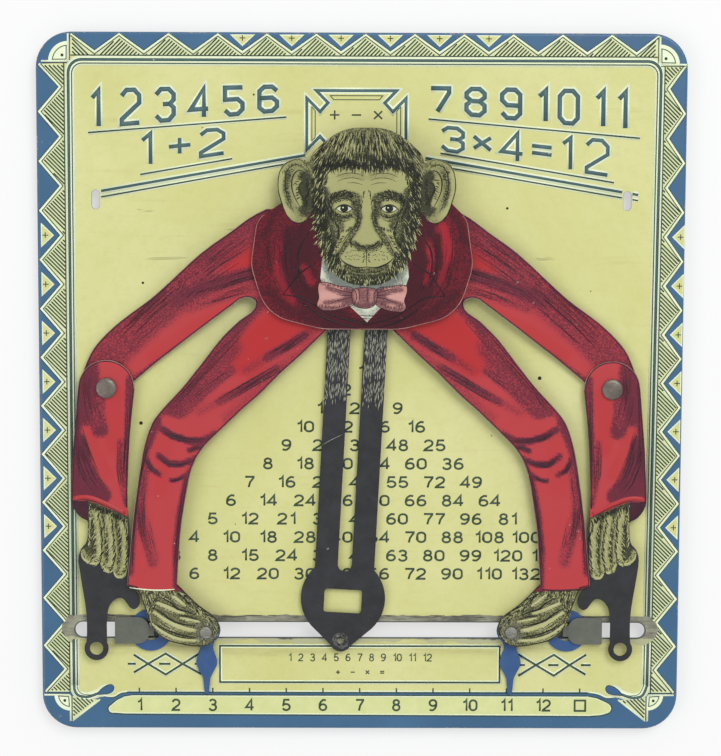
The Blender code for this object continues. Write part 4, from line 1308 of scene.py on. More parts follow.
def keep_on(sheet, node):
    """Removes the strokes that would run over a plate's edge."""
    tree = surface(node)
    for spline in list(sheet.splines):
        marks = spline.bezier_points if spline.type == "BEZIER" else spline.points
        if any(tree.ray_cast(Vector((m.co.x, m.co.y, 50)), Vector((0, 0, -1)))[0] is None
               for m in marks):
            sheet.splines.remove(spline)


def over(node):
    """A shaping function that drops strokes onto a plate, however the plate is stepped."""
    tree = surface(node)
    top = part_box(node)[1].z / MM

    def drop(corner):
        hit = tree.ray_cast(Vector((corner.x, corner.y, 50)), Vector((0, 0, -1)))[0]
        if hit is None:
            hit = tree.find_nearest(Vector((corner.x, corner.y, top)))[0]
        return Vector((corner.x, corner.y, corner.z + hit.z))

    return drop


def draw_on(node, body, name, sheet, high, ink):
    """Presses strokes onto a plate of the figure, and names them after its body."""
    press(body + name, 0.0, high, ink, body, "red_tin", sheet=sheet, shape=over(node))


CENTRE = -0.35


def mirrored(line):
    """The same line on the other side of the figure."""
    return [(2 * CENTRE - x, y) for x, y in line]


print("print tools ready")

# %% [markdown]
# ## Crayon-shaded inks
#
# The suit is a flat red with a blue-black crayon drawn over it. Crayon on a grained stone
# prints as tiny dots that grow denser where it was pressed harder. Two steps give that look:
# the shading value first blends the red towards purple, and then a noise with grains of
# several sizes is compared with it, and dark dots show wherever the value is higher. The
# same recipe with tan below gives fur and skin.

# %% The crayon recipe
def crayon_ink(name, plain, bright, middle, dark, softness=3.5, dots=0.72, scratch="d9a8a0"):
    """Plain ink, brightened by the glow layer and covered by dark crayon from the shade layer."""
    material = empty_material(name)
    place = add_node(material, "TexCoord").outputs["Object"]
    shade = add_node(material, "Attribute", attribute_name="shade")
    glow = add_node(material, "Attribute", attribute_name="glow")
    cloud = add_node(material, "TexNoise", {
        "Vector": place, "Scale": 180.0, "Detail": 4.0, "Roughness": 0.6})
    lift = add_node(material, "MapRange", {0: cloud, 3: -0.25, 4: 0.25})
    bright_share = add_node(material, "Math", {
        0: glow.outputs["Fac"], 1: lift}, operation="ADD", use_clamp=True)
    under = add_node(material, "Mix", {
        0: bright_share, 6: linear(plain), 7: linear(bright)}, data_type="RGBA")
    grain = add_node(material, "TexNoise", {
        "Vector": place, "Scale": 3000.0, "Detail": 2.0, "Roughness": 0.8})
    level = add_node(material, "MapRange", {0: grain, 1: 0.34, 2: 0.66})
    # The blend towards purple is a little uneven too
    blend = add_node(material, "Math", {
        0: level, 1: 0.45, 2: shade.outputs["Fac"]}, operation="MULTIPLY_ADD")
    blend = add_node(material, "MapRange", {0: blend, 1: 0.35, 2: 1.3, 4: 0.85})
    tinted = add_node(material, "Mix", {0: blend, 6: under, 7: linear(middle)}, data_type="RGBA")
    over_grain = add_node(material, "Math", {0: shade.outputs["Fac"], 1: level}, operation="SUBTRACT")
    cover = add_node(material, "MapRange", {0: over_grain, 1: -0.5 / softness, 2: 0.5 / softness})
    fade = add_node(material, "MapRange", {0: shade.outputs["Fac"], 1: 0.05, 2: 0.5, 4: dots})
    cover = add_node(material, "Math", {0: cover, 1: fade}, operation="MULTIPLY")
    drawn = add_node(material, "Mix", {0: cover, 6: tinted, 7: linear(dark)}, data_type="RGBA")
    colour = speck(material, place, drawn, scratch, 330.0, "Blue", 0.85, 0.06, 0.03, 0.8)
    gloss = add_node(material, "MapRange", {0: cloud, 3: 0.3, 4: 0.44})
    dress_surface(material, colour, gloss, cloud, 0.08, 0.2, {**VARNISH, "Coat Roughness": 0.25})
    return material


red_crayon = crayon_ink("red_crayon_lithograph_ink", "bb4044", "b62b2d", "903146", "46192d")
fur_crayon = crayon_ink("tan_fur_lithograph_ink", "9c9c68", "abab74", "5a5c40", "1b1e13",
                        3.0, 0.85, "c9c49a")
coat_crayon = crayon_ink("maroon_crayon_lithograph_ink", "8a1428", "a81e2d", "5e0d22", "200713",
                         3.0, 0.75)
dark_ink = litho_ink("green_black_lithograph_ink", "15180d", "25271c", 0.95, "8f8d70")
wine_ink = litho_ink("wine_black_lithograph_ink", "3a1522", "48202f", 0.93)
coat_ink = litho_ink("coat_black_lithograph_ink", "1c0a13", "2a101c", 0.93)
tan_ink = litho_ink("pale_tan_lithograph_ink", "b3b37c", "bcbd8b", 0.97)
print("crayon inks mixed")

# %% [markdown]
# ## Sleeves and trousers
#
# Each limb plate carries an arm and a leg in one. The light comes from the lower middle:
# the upper side of the arm and the outer side of the leg lie in deep purple crayon, folds
# run out of the armpit, and the knee has a bundle of short curved creases. The lines are
# written once for the left limb and mirrored for the right one.

# %% Crayon strokes of the arm and leg
LIMB_SHADE = [
    (0.56, 4.2, 8.2, [(-19, 38.5), (-27, 34.5), (-36, 27.5), (-46, 19), (-54, 11.5), (-59, 3)]),
    (0.78, 1.2, 5.0, [(-19, 39.5), (-28, 35.8), (-37, 28.8), (-47, 20.3), (-55, 13), (-60.5, 4)]),
    (0.56, 2.4, 5.8, [(-37, 21.5), (-47, 13.2), (-54, 6.5)]),
    (0.85, 0.5, 2.8, [(-20, 24.8), (-26, 23.4), (-32, 21.4), (-38.5, 19)]),
    (0.5, 0.2, 2.0, [(-22, 21.4), (-29, 19.2), (-36, 16.8)]),
    (0.6, 0.1, 1.0, [(-23, 17.2), (-32, 13.2), (-41, 7.2), (-49, 1.4)]),
    (0.9, 0.2, 3.4, [(-22.5, 17.5), (-27.5, 12), (-33, 5.8), (-39.5, -1.5), (-44.5, -7)]),
    (0.62, 0.6, 3.6, [(-38.5, 3.5), (-40, -2.5), (-43, -5.5)]),
    (0.6, 1.6, 4.8, [(-28.5, 8.5), (-34, 1.5), (-39.5, -4)]),
    (0.72, 1.0, 3.6, [(-36, -1.2), (-39.5, -4.5)]),
    (0.6, 0.3, 1.8, [(-27.5, 3.5), (-33, -0.5), (-37, -4.2)]),
    (0.42, 0.6, 3.8, [(-9.5, 8.5), (-16.5, 3.4), (-24, -3.4), (-30.5, -9.5)]),
    (0.45, 0.1, 2.2, [(-9, 12.9), (-16, 8.6), (-24.5, 3.6)]),
    (0.8, 0.1, 1.5, [(-12, 11.2), (-16, 8.6), (-20, 6.4)]),
    (0.42, 0.1, 2.0, [(-13.5, 6.6), (-20, 2.8), (-27, -1.4), (-34.5, -5.4)]),
    (0.68, 0.1, 1.4, [(-18, 4), (-23, 1), (-30, -3)]),
    (0.85, 0.2, 1.6, [(-8, 10.5), (-14, 4.6), (-22, -3.4), (-29.5, -10.5), (-33.6, -15)]),
    (0.95, 0.8, 2.0, [(-33.2, -14.6), (-36.4, -19.4), (-38.1, -27.5), (-38.9, -35), (-38.8, -43.9)]),
    (0.9, 0.1, 1.7, [(-43.5, -7.5), (-46.2, -14), (-47.8, -22), (-49, -31), (-49.6, -40)]),
    (0.6, 0.2, 2.0, [(-46.2, -18), (-47, -25), (-46.6, -31), (-44.6, -38)]),
    (0.4, 0.2, 1.4, [(-45.6, -29), (-43.8, -37)]),
    (0.95, 0.5, 1.1, [(-42.2, -9.2), (-40.2, -10.5), (-37, -11.5), (-33.6, -11.4), (-31.2, -10.5)]),
    (0.9, 0.35, 1.0, [(-36.6, -13.6), (-35, -12.9), (-33.6, -13.2)]),
    (0.95, 0.4, 1.0, [(-43.2, -14.8), (-41, -16.5), (-38.4, -16.6), (-35.4, -15.4)]),
    (0.85, 0.3, 0.9, [(-45.8, -15.4), (-44.6, -17.8), (-43, -18.8)]),
    (0.9, 0.25, 0.8, [(-40.6, -20.1), (-38.9, -19.8), (-37.4, -18.9)]),
    (0.0, 0.3, 1.6, [(-41.5, -7.2), (-38.5, -8.2), (-34.5, -8.8), (-30.5, -7.6)]),
]
LIMB_GLOW = [
    (1.0, 1.5, 4.5, [(-22, 28.5), (-27, 26.5)]),
    (1.0, 2.4, 6.0, [(-14, 13.5), (-20, 11.5), (-24.5, 6.5)]),
    (0.5, 0.8, 2.5, [(-27, 16.8), (-36, 12), (-44, 6.5)]),
    (0.4, 1.0, 3.0, [(-42, -12), (-43, -22)]),
]
print(len(LIMB_SHADE), "dark and", len(LIMB_GLOW), "bright crayon strokes on a limb")

# %% [markdown]
# ## Left and right
#
# Both sides of the figure are dressed by the same loops. Each side is one row: its sign, its
# names, and the functions that mirror lines and crayon strokes.

# %% Name both sides
def flipped(brushes):
    """The same crayon strokes for the other side."""
    return [(value, core, fade, mirrored(line)) for value, core, fade, line in brushes]


SIDES = ((-1, "left", list, list), (1, "right", mirrored, flipped))


def plates(plate, part):
    """Side, plate, body and the two mirroring functions, for the left and for the right."""
    return [(side, name + plate, name + part, turn, turn_all) for side, name, turn, turn_all in SIDES]


LIMBS = plates("_arm_leg_plate", "_limb")
FOREARMS = plates("_forearm_plate", "_forearm")
print("limbs:", [plate for _, plate, _, _, _ in LIMBS])

# %% [markdown]
# ## Red cloth and dark feet
#
# Both areas are cut from the same top face: the suit ends at the hem, and the fur goes on
# below it.

# %% Lay the red suit and the fur of the feet
HEM_X, HEM_Y, HEM_LEAN = 42.6, -43.9, 0.06
for side, node, body, _, turn_all in LIMBS:
    suit = top_face(node)
    cut(suit, (side * HEM_X + CENTRE, HEM_Y), (side * HEM_LEAN, -1))
    grid(suit, 0.55)
    lay_print(body + "_suit", suit, 0.0, 0.02, red_crayon, body, "red_tin",
              shade=(0.04, turn_all(LIMB_SHADE)), glow=(0.15, turn_all(LIMB_GLOW)))
    fur = top_face(node)
    cut(fur, (side * HEM_X + CENTRE, HEM_Y - 0.05), (-side * HEM_LEAN, 1))
    grid(fur, 0.5)
    lay_print(body + "_foot", fur, 0.0, 0.018, fur_crayon, body, "red_tin",
              shade=(0.55, []), glow=(0.3, []))

# %% [markdown]
# ## Long crayon lines
#
# Over the dots lie long lines that follow the cloth: down the arm and thigh, and round the
# knee. They are drawn side by side along a guide line, each starting and stopping at random,
# and tapered at both ends.

# %% Streaks and hairs along a guide line
HAIR_BEND = 0.15


def spread(line, count):
    """Evenly spaced points along a line of several points, with the way it runs there."""
    steps = [math.dist(a, b) for a, b in zip(line, line[1:])]
    total = sum(steps)
    found = []
    for index in range(count):
        left = total * (index + 0.5) / count
        for (a, b), step in zip(zip(line, line[1:]), steps):
            if left <= step:
                share = left / step
                found.append((a[0] + (b[0] - a[0]) * share, a[1] + (b[1] - a[1]) * share,
                              (b[0] - a[0]) / step, (b[1] - a[1]) / step))
                break
            left -= step
    return found


def streaks(sheet, line, count, reach, width, shortest=0.2, longest=0.6):
    """Long tapered strokes side by side along a guide line, up to a reach on either side."""
    guide = spread(line, 25)
    for _ in range(count):
        length = random.uniform(shortest, longest)
        first = random.uniform(0, 1 - length)
        aside = random.uniform(-reach, reach)
        part = guide[int(first * 24):int((first + length) * 24) + 1:3]
        if len(part) > 1:
            pen(sheet, [(x - dy * aside, y + dx * aside) for x, y, dx, dy in part],
                width * random.uniform(0.7, 1.3), ends=(0.2, 0.2))


def hairs(sheet, line, count, length, lean, width, jitter=0.4):
    """Short tapered hairs along a line. Lean turns them from its direction, in degrees."""
    for x, y, dx, dy in spread(line, count):
        turn = math.radians(lean + random.uniform(-14, 14))
        reach = length * random.uniform(0.6, 1.25)
        wx, wy = dx * math.cos(turn) - dy * math.sin(turn), dx * math.sin(turn) + dy * math.cos(turn)
        x += random.uniform(-jitter, jitter)
        y += random.uniform(-jitter, jitter)
        bend = reach * HAIR_BEND * random.uniform(-1, 1)
        pen(sheet, [(x, y), (x + wx * reach / 2 - wy * bend, y + wy * reach / 2 + wx * bend),
                    (x + wx * reach, y + wy * reach)], width * random.uniform(0.7, 1.2),
            smooth=True, ends=(0.9, 0.2))


print("streaks and hairs ready")

# %% Draw the folds of arm and leg
FOLDS = [  # guide line, strokes, reach, width
    ([(-21, 37.2), (-29, 31.5), (-38, 24), (-48, 15.2), (-56, 7)], 56, 2.8, 0.1),
    ([(-22, 31.5), (-31, 26), (-40, 18.6), (-49, 10.6), (-55, 4)], 34, 2.4, 0.1),
    ([(-20.5, 25), (-26, 23.4), (-32, 21.4), (-38.5, 19)], 34, 1.2, 0.12),
    ([(-23, 21.2), (-29, 19.4), (-35, 17.2)], 20, 0.8, 0.11),
    ([(-23, 16.7), (-32, 12.9), (-41, 6.8), (-49, 1)], 24, 0.5, 0.1),
    ([(-22.6, 16.5), (-28, 10.6), (-33.6, 4.4), (-40, -2.6), (-44.6, -7.4)], 34, 1.7, 0.1),
    ([(-37.5, 3), (-40, -2.5), (-43, -5.5)], 14, 1.6, 0.1),
    ([(-27.5, 3.5), (-33, -0.5), (-37.5, -4.4)], 14, 0.9, 0.1),
    ([(-11, 11.8), (-16, 8.6), (-22, 5.2)], 24, 0.9, 0.12),
    ([(-15.5, 5.4), (-20, 2.8), (-27, -1.4), (-34, -5)], 30, 0.9, 0.12),
    ([(-8.4, 9.8), (-14.2, 4), (-22, -4), (-29.5, -11), (-33.2, -15)], 50, 0.9, 0.13),
    ([(-34.6, -15), (-36.8, -20), (-38.2, -28), (-39, -36), (-39.8, -43)], 60, 0.9, 0.13),
    ([(-44, -8), (-46.6, -14), (-48.2, -22), (-49.2, -31), (-49.8, -42)], 60, 0.8, 0.13),
    ([(-46.4, -18), (-47.2, -25), (-46.8, -31), (-44.6, -38)], 20, 0.8, 0.1),
    ([(-45.6, -29), (-43.8, -37)], 7, 0.6, 0.1),
]
CREASES = [  # centre line, greatest width
    ([(-42.6, -8.8), (-40.4, -10.3), (-37.2, -11.4), (-33.8, -11.5), (-31.2, -10.7)], 0.9),
    ([(-42, -9.6), (-40, -10.9), (-37.4, -11.7)], 0.7),
    ([(-37, -13.8), (-35.2, -13), (-33.4, -13.1)], 0.6),
    ([(-43.4, -14.6), (-41.2, -16.3), (-38.4, -16.6), (-35.6, -15.6)], 0.9),
    ([(-42.6, -15.8), (-40.6, -16.9), (-38.4, -17.1)], 0.6),
    ([(-46, -15.2), (-44.8, -17.7), (-42.8, -18.9)], 0.7),
    ([(-40.8, -20.2), (-39.1, -19.9), (-37.5, -19)], 0.6),
]
for _, node, body, turn, _ in LIMBS:
    random.seed(5)
    folds = new_sheet()
    for line, count, reach, width in FOLDS:
        streaks(folds, turn(line), count, reach, width)
    for line, width in CREASES:
        pen(folds, turn(line), width * 0.55, smooth=True, ends=(0.1, 0.1))
        streaks(folds, turn(line), 9, width * 0.6, 0.12, 0.5, 0.9)
    keep_on(folds, node)
    draw_on(node, body, "_folds", folds, 0.03, wine_ink)

# %% [markdown]
# ## Outlines of the plates
#
# Before cutting, the printer drew a thin dark line just inside every plate's edge. It is
# found rather than drawn: the border edges of a plate's top face are walked into loops, and
# each loop is moved inwards and inked. A hair of paler rose along the very edge is rubbed tin
# and painted highlight, where the cut edge catches the light.

# %% Find the cut edges
def edge_loops(node, inset):
    """The outlines of a plate's top face, moved inwards, as lists of points in millimetres."""
    sheet = top_face(node)
    loops = []
    ahead = {}
    for face in sheet.faces:
        for corner in face.loops:
            if len(corner.edge.link_faces) == 1:
                ahead[corner.vert.index] = corner.link_loop_next.vert.index
    places = {v.index: Vector(v.co[:2]) for v in sheet.verts}
    while ahead:
        at = next(iter(ahead))
        loop = []
        while at in ahead:
            loop.append(places[at])
            at = ahead.pop(at)
        loops.append(moved_aside(loop, inset))
    sheet.free()
    return loops


def ink_outline(name, node, body, slot, high, inset, width, material, keep):
    """Draws a thin line inside a plate's cut edge, where keep says so."""
    sheet = new_sheet()
    for loop in edge_loops(node, inset):
        part = []
        for point in loop + loop[:1]:
            if keep(point):
                part.append(point)
                continue
            if len(part) > 1:
                pen(sheet, part, width)
            part = []
        if len(part) > 1:
            pen(sheet, part, width)
    press(name, 0.0, high, material, body, slot, sheet=sheet, shape=over(node))


print("outline tools ready")

# %% Ink the arm and leg plates
# The rose line at the very edge is rubbed tin and painted highlight, where the cut edge catches light.
rubbed_edge_and_highlight_ink = litho_ink("rose_rubbed_edge_and_highlight_ink", "b58b84", "8d5a5c", 0.5)
for _, node, body, _, _ in LIMBS:
    ink_outline(body + "_outline", node, body, "red_tin", 0.034, 0.24, 0.26, wine_ink,
                keep=lambda point: point[1] > -43.6)
    ink_outline(body + "_foot_outline", node, body, "red_tin", 0.035, 0.16, 0.2, dark_ink,
                keep=lambda point: point[1] < -43)
    ink_outline(body + "_rubbed_edge_highlight", node, body, "red_tin", 0.037, 0.06, 0.11, rubbed_edge_and_highlight_ink,
                keep=lambda point: point[1] > -43)

# %% [markdown]
# ## Hems and feet
#
# A pale line shows under the left hem where the print ends. Below it the foot is dark fur
# with toes laid over it: each is one broad tapered stroke, a dark line below it and a row
# of short hairs. Hair also runs down the heel and along the instep, in dark and light.

# %% Draw the feet
TOES = [
    ([(-45.2, -51), (-42.8, -53.1), (-40.7, -54.2), (-38.2, -54.9), (-34.6, -55)], 1.35),
    ([(-44.6, -48.6), (-42.3, -50.4), (-40, -51.7), (-37.6, -52.5), (-35.3, -52.8)], 1.7),
    ([(-43.9, -46.6), (-42.6, -47.3), (-41.4, -47.8), (-39.9, -48.5), (-37.8, -49.1)], 1.5),
    ([(-38.8, -50), (-36.7, -50.5), (-34.5, -50.9)], 1.1),
    ([(-41, -44.8), (-39.2, -46.2), (-37.6, -47.5)], 1.35),
    ([(-42.6, -45.3), (-40.9, -46.4)], 0.7),
    ([(-43.6, -50.9), (-41.4, -52.3), (-39.4, -53.1)], 0.5),
    ([(-36.9, -47.5), (-35.4, -48.7)], 0.5),
]
TOE_LINES = [
    ([(-44.8, -50.9), (-42.1, -52.35), (-39.2, -53.5), (-36.4, -54.1), (-35, -54.2)], 0.34),
    ([(-44.9, -47.6), (-42.6, -48.9), (-40.7, -50.4), (-38.1, -51.3), (-35.4, -51.7)], 0.45),
    ([(-42.4, -45.6), (-40.6, -46.7), (-39.2, -48), (-37.1, -48.6), (-35.5, -49.3)], 0.45),
    ([(-39.6, -44.2), (-37.8, -45.7), (-36.8, -47.2)], 0.3),
    ([(-44.9, -52.4), (-42.6, -54.3), (-39.6, -55.6), (-36, -56.1)], 0.3),
    ([(-39, -49.3), (-37.4, -49.5), (-35, -50.1)], 0.26),
]
print(len(TOES), "toes and", len(TOE_LINES), "lines")

# %% [markdown]
# ## Rubbed rings
#
# Round a rivet or a hole the plates rub on each other, and short grey scratches circle it.

# %% Scratches round a rivet
worn_grey = litho_ink("rubbed_grey_lithograph_ink", "8f908a", "74756f", 0.5)


def rubbed_ring(sheet, x, y, near, far, count):
    """Short scratches that circle a hole or rivet, where two parts have rubbed."""
    for _ in range(count):
        turn, inner = random.uniform(0, 2 * math.pi), random.uniform(near, far)
        outer = inner + random.uniform(-0.2, 0.5)
        pen(sheet, [(x + inner * math.cos(turn), y + inner * math.sin(turn)),
                    (x + outer * math.cos(turn + 0.45), y + outer * math.sin(turn + 0.45))],
            random.uniform(0.07, 0.17), ends=(0.6, 0.2))


print("rubbed rings ready")

# %% [markdown]
# ## Fur, toes and hems
#
# The same lines are drawn for both feet. Hairs lean the other way on the mirrored one, so
# their lean is multiplied by the side.

# %% Press fur, toes and hems
for side, node, body, turn, _ in LIMBS:
    random.seed(8)
    light, dark, worn = new_sheet(), new_sheet(), new_sheet()
    rivet_low, rivet_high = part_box(body.replace("limb", "foot_rivet"))
    rivet = (rivet_low + rivet_high) / 2 / MM
    rubbed_ring(worn, rivet.x, rivet.y, 1.1, 2.6, 110)
    keep_on(worn, node)
    draw_on(node, body, "_foot_wear", worn, 0.046, worn_grey)
    for toe, width in TOES:
        pen(light, turn(toe), width, smooth=True, ends=(0.45, 0.5))
        below = [(x - 0.1, y - width * 0.36) for x, y in toe]
        hairs(dark, turn(below), int(4 * math.dist(toe[0], toe[-1])), 0.45, side * -62,
              0.13, 0.1)
        above = [(x + 0.1, y + width * 0.42) for x, y in toe]
        streaks(dark, turn(above), 2, 0.1, 0.1, 0.4, 0.9)
    for line, width in TOE_LINES:
        pen(dark, turn(line), width, smooth=True, ends=(0.3, 0.3))
        hairs(dark, turn(line), 10, 0.4, side * 60, 0.12, 0.15)
    for line, count, length, lean in (
            ([(-47.2, -44.6), (-46.6, -47.4), (-45.2, -50.6)], 40, 1.2, -20),
            ([(-46, -44.6), (-45.2, -46.6), (-45.6, -49)], 40, 1.2, -12),
            ([(-44.6, -44.5), (-43.9, -45.8), (-44.4, -47)], 20, 1.0, -12),
            ([(-38.6, -44.4), (-36, -46.7), (-33.8, -48.7), (-31.6, -50.8)], 60, 0.9, 14),
            ([(-39.2, -44.4), (-36.5, -46.8), (-34, -49.4)], 40, 0.8, -14),
            ([(-33.2, -50.2), (-31.2, -51.8), (-30.9, -53.8), (-31.8, -55.4)], 50, 0.8, -30),
            ([(-34.4, -52.4), (-33.6, -54.4), (-34, -55.8)], 24, 0.7, 20),
            ([(-46.6, -44.2), (-43, -44.4), (-40, -44.2)], 40, 0.8, -75)):
        hairs(dark, turn(line), int(count * 0.8), length, side * -lean, 0.14, 0.45)
        hairs(light, turn(line), count, length * 0.8, side * -lean, 0.14, 0.5)
    keep_on(light, node)
    keep_on(dark, node)
    draw_on(node, body, "_toe_lights", light, 0.028, tan_ink)
    draw_on(node, body, "_toe_lines", dark, 0.042, dark_ink)
    hem = new_sheet()
    pen(hem, turn([(-49.6, -43.35), (-46.5, -43.75), (-43, -43.9), (-39.9, -43.7)]),
        0.34 if side < 0 else 0.5, smooth=True, ends=(0.4, 0.5))
    draw_on(node, body, "_hem_line", hem, 0.05, pale_ink if side < 0 else wine_ink)

# %% [markdown]
# ## Forearms: sleeve, cuff, hand and black tongue
#
# A forearm plate is red down to the cuff, tan over the hand, and plain black on the tongue
# that carries the ring hole. The plate itself gets black enamel, and the sleeve and hand
# are printed areas on it. The cuff has a bright rim and shows its dark inside below.

# %% Draw the sleeves
SLEEVE_SHADE = [
    (0.9, 2.0, 4.0, [(-58.8, 3.2), (-60.2, -1.5), (-59, -5.4)]),
    (0.9, 0.8, 2.6, [(-57, 0), (-56.8, -5), (-55.8, -9.4)]),
    (0.6, 0.6, 2.0, [(-55.8, -3.2), (-56.2, -7.4)]),
    (0.95, 0.6, 2.2, [(-60.8, -4), (-61.6, -13), (-61.8, -22.6)]),
    (0.95, 1.2, 2.6, [(-60.4, -12.4), (-59.4, -16.8), (-57.8, -20.6), (-55.4, -23.4)]),
    (0.95, 1.8, 3.0, [(-60.2, -18.5), (-59, -21.6)]),
    (0.8, 0.4, 1.7, [(-49.2, 1.5), (-49.5, -8), (-50.1, -18), (-50, -25)]),
    (0.5, 0.2, 1.4, [(-51.6, -12), (-51.6, -18), (-50.8, -23)]),
]
SLEEVE_GLOW = [
    (0.5, 1.0, 3.0, [(-52.4, -2), (-53, -8), (-52.8, -13)]),
    (0.4, 0.6, 2.0, [(-58.4, -8), (-57.2, -13), (-54.6, -19)]),
]
SLEEVE_FOLDS = [
    ([(-60.4, 3), (-61, -4), (-61.2, -12), (-61.4, -22)], 46, 1.0, 0.11),
    ([(-57.6, 4.6), (-58.2, -0.6), (-57.2, -6), (-55.6, -10)], 26, 1.4, 0.1),
    ([(-60.6, -11), (-59.6, -16.4), (-58, -20.4), (-55.4, -23.4)], 40, 1.3, 0.11),
    ([(-49.4, 1.5), (-49.6, -8), (-50.3, -18), (-50.2, -25)], 28, 0.7, 0.11),
    ([(-51.6, -11), (-51.8, -18), (-50.9, -24)], 16, 0.6, 0.1),
    ([(-60, -8), (-58.8, -13), (-56.4, -19), (-54, -23)], 16, 0.5, 0.1),
]
CUFF = [(-61.95, -23.2), (-61.95, -24.5), (-60.6, -24.75), (-58.6, -24.65), (-56.4, -25.4),
        (-53.2, -26.8), (-50, -28.1), (-50, -23.2)]
HEM = [(-61.5, -24.2), (-60.2, -23.9), (-58.2, -24), (-55.6, -24.9), (-53, -26.1),
       (-50.5, -27.4)]
hem_ink = litho_ink("bright_red_lithograph_ink", "bd4144", "b33437", 0.9, "d9a8a0")
UNDERSIDE = [(-61.9, -24.4), (-58.2, -24.4), (-58.3, -28.4), (-58.9, -28.6), (-60.2, -27.9),
             (-61.4, -26.6)]
HAND = [(-58.5, -24.5), (-55, -25.6), (-50, -27.8), (-50, -33), (-50, -38.8), (-50.5, -41),
        (-51.4, -41.7), (-52.6, -41.2), (-53.3, -39.9), (-54.2, -40.5), (-55.4, -40),
        (-56.1, -38.1), (-57.3, -38.7), (-58.8, -38.4), (-60, -37), (-60.1, -35.6),
        (-59.3, -34.9), (-58.5, -34.2), (-58.5, -30)]
print(len(SLEEVE_FOLDS), "guide lines on a sleeve")

# %% [markdown]
# ## Layers of a forearm
#
# From the tin up: the dark inside of the cuff, the red sleeve, its folds, the bright hem and
# the outlines. The cuff reaches past the sleeve's straight cut, so it is filled on its own.

# %% Press the sleeves
for _, node, body, turn, turn_all in FOREARMS:
    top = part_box(node)[1].z / MM
    random.seed(9)
    sleeve = top_face(node)
    cut(sleeve, (0, -23.2), (0, -1))
    bmesh.ops.translate(sleeve, vec=(0, 0, -top), verts=sleeve.verts)
    fill(sleeve, turn(CUFF))
    grid(sleeve, 0.5)
    lay_print(body + "_sleeve", sleeve, top, 0.02, red_crayon, body, "red_tin",
              shade=(0.04, turn_all(SLEEVE_SHADE)), glow=(0.1, turn_all(SLEEVE_GLOW)))
    press(body + "_cuff_inside", top, top + 0.014, wine_ink, body, "red_tin",
          flat=filled(turn(UNDERSIDE)))
    folds = new_sheet()
    for line, count, reach, width in SLEEVE_FOLDS:
        streaks(folds, turn(line), count, reach, width)
    pen(folds, turn([(x, y - 0.6) for x, y in HEM]), 0.22, smooth=True, ends=(0.6, 0.6))
    keep_on(folds, node)
    press(body + "_folds", top, top + 0.03, wine_ink, body, "red_tin", sheet=folds)
    hem = new_sheet()
    pen(hem, turn(HEM), 0.95, smooth=True, ends=(0.75, 0.85))
    keep_on(hem, node)
    press(body + "_hem", top, top + 0.032, hem_ink, body, "red_tin", sheet=hem)
    ink_outline(body + "_outline", node, body, "red_tin", 0.034, 0.24, 0.24, wine_ink,
                keep=lambda point: point[1] > -28.8)
    # A rose line at the elbow end is rubbed tin and painted highlight along the cut edge.
    ink_outline(body + "_rubbed_edge_highlight", node, body, "red_tin", 0.037, 0.07, 0.13, rubbed_edge_and_highlight_ink,
                keep=lambda point: point[1] > -4)

# %% [markdown]
# ## Hands
#
# A hand is an outline filled with dark fur ink. Light ridges run down the fingers, rims mark
# the finger tips, and rows of light and dark hairs lie over both.

# %% Lay the hands
RIDGES = [
    [(-56.8, -27), (-56.2, -29.5), (-56, -32.4), (-55.9, -35.6), (-56.4, -38)],
    [(-54, -28), (-53.4, -32.1), (-53.1, -36.5), (-53.8, -39.6)],
    [(-51.2, -29), (-50.4, -32.1), (-50.5, -36.5), (-50.9, -40)],
]
RIMS = [
    [(-60, -36), (-59.7, -37.2), (-58.2, -38.2), (-56.8, -38.4), (-55.9, -37.4)],
    [(-55.7, -38.3), (-54.8, -39.8), (-53.8, -40.2), (-53.1, -38.9)],
    [(-53.1, -40.3), (-52.4, -41.3), (-51.3, -41.2), (-50.6, -39.5)],
]
for side, node, body, turn, turn_all in FOREARMS:
    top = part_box(node)[1].z / MM
    random.seed(10)
    hand = filled(turn(HAND))
    grid(hand, 0.5)
    lights = [(0.15, 0.5, 1.3, line) for line in RIDGES + RIMS]
    lay_print(body + "_hand", hand, top, 0.016, fur_crayon, body, "red_tin",
              shade=(0.8, turn_all(lights)), glow=(0.3, []))
    dark, light = new_sheet(), new_sheet()
    for line in RIDGES:
        hairs(light, turn(line), 50, 1.1, side * 40, 0.17, 0.35)
        hairs(light, turn([(x - 1.0, y) for x, y in line]), 36, 0.9, side * 30, 0.14, 0.4)
        pen(light, turn(line[2:]), 0.55, smooth=True, ends=(0.4, 0.8))
        hairs(dark, turn([(x + 0.45, y) for x, y in line]), 44, 1.0, side * 24, 0.16, 0.2)
        hairs(dark, turn([(x - 1.2, y) for x, y in line]), 30, 0.9, side * 30, 0.16, 0.3)
    hairs(light, turn([(-58.3, -25.4), (-58.3, -30), (-58.5, -34.4)]), 34, 0.7, side * -28,
          0.14, 0.15)
    for line in RIMS:
        pen(light, turn(line), 0.5, smooth=True, ends=(0.5, 0.5))
        hairs(dark, turn([(x, y + 0.35) for x, y in line]), 12, 0.6, side * -110, 0.14, 0.1)
    hairs(dark, turn([(-58.3, -25.4), (-54.6, -26.6), (-50.4, -28.6)]), 60, 1.1, side * 80,
          0.2, 0.35)
    keep_on(light, node)
    keep_on(dark, node)
    press(body + "_hand_light_hairs", top, top + 0.026, tan_ink, body, "red_tin", sheet=light)
    press(body + "_hand_dark_hairs", top, top + 0.036, dark_ink, body, "red_tin", sheet=dark)

# %% [markdown]
# ## The tail: black enamel with a furry root
#
# The tail plate is plain black, slotted, with a window for the answer. Its upper end, which
# the chest hides in part, carries light hairs in rows, down to a last bright row. Because the
# tail slides, the hairs go all the way up, and they ride on the tail's own body. Its tip is
# rubbed bare round the hole.

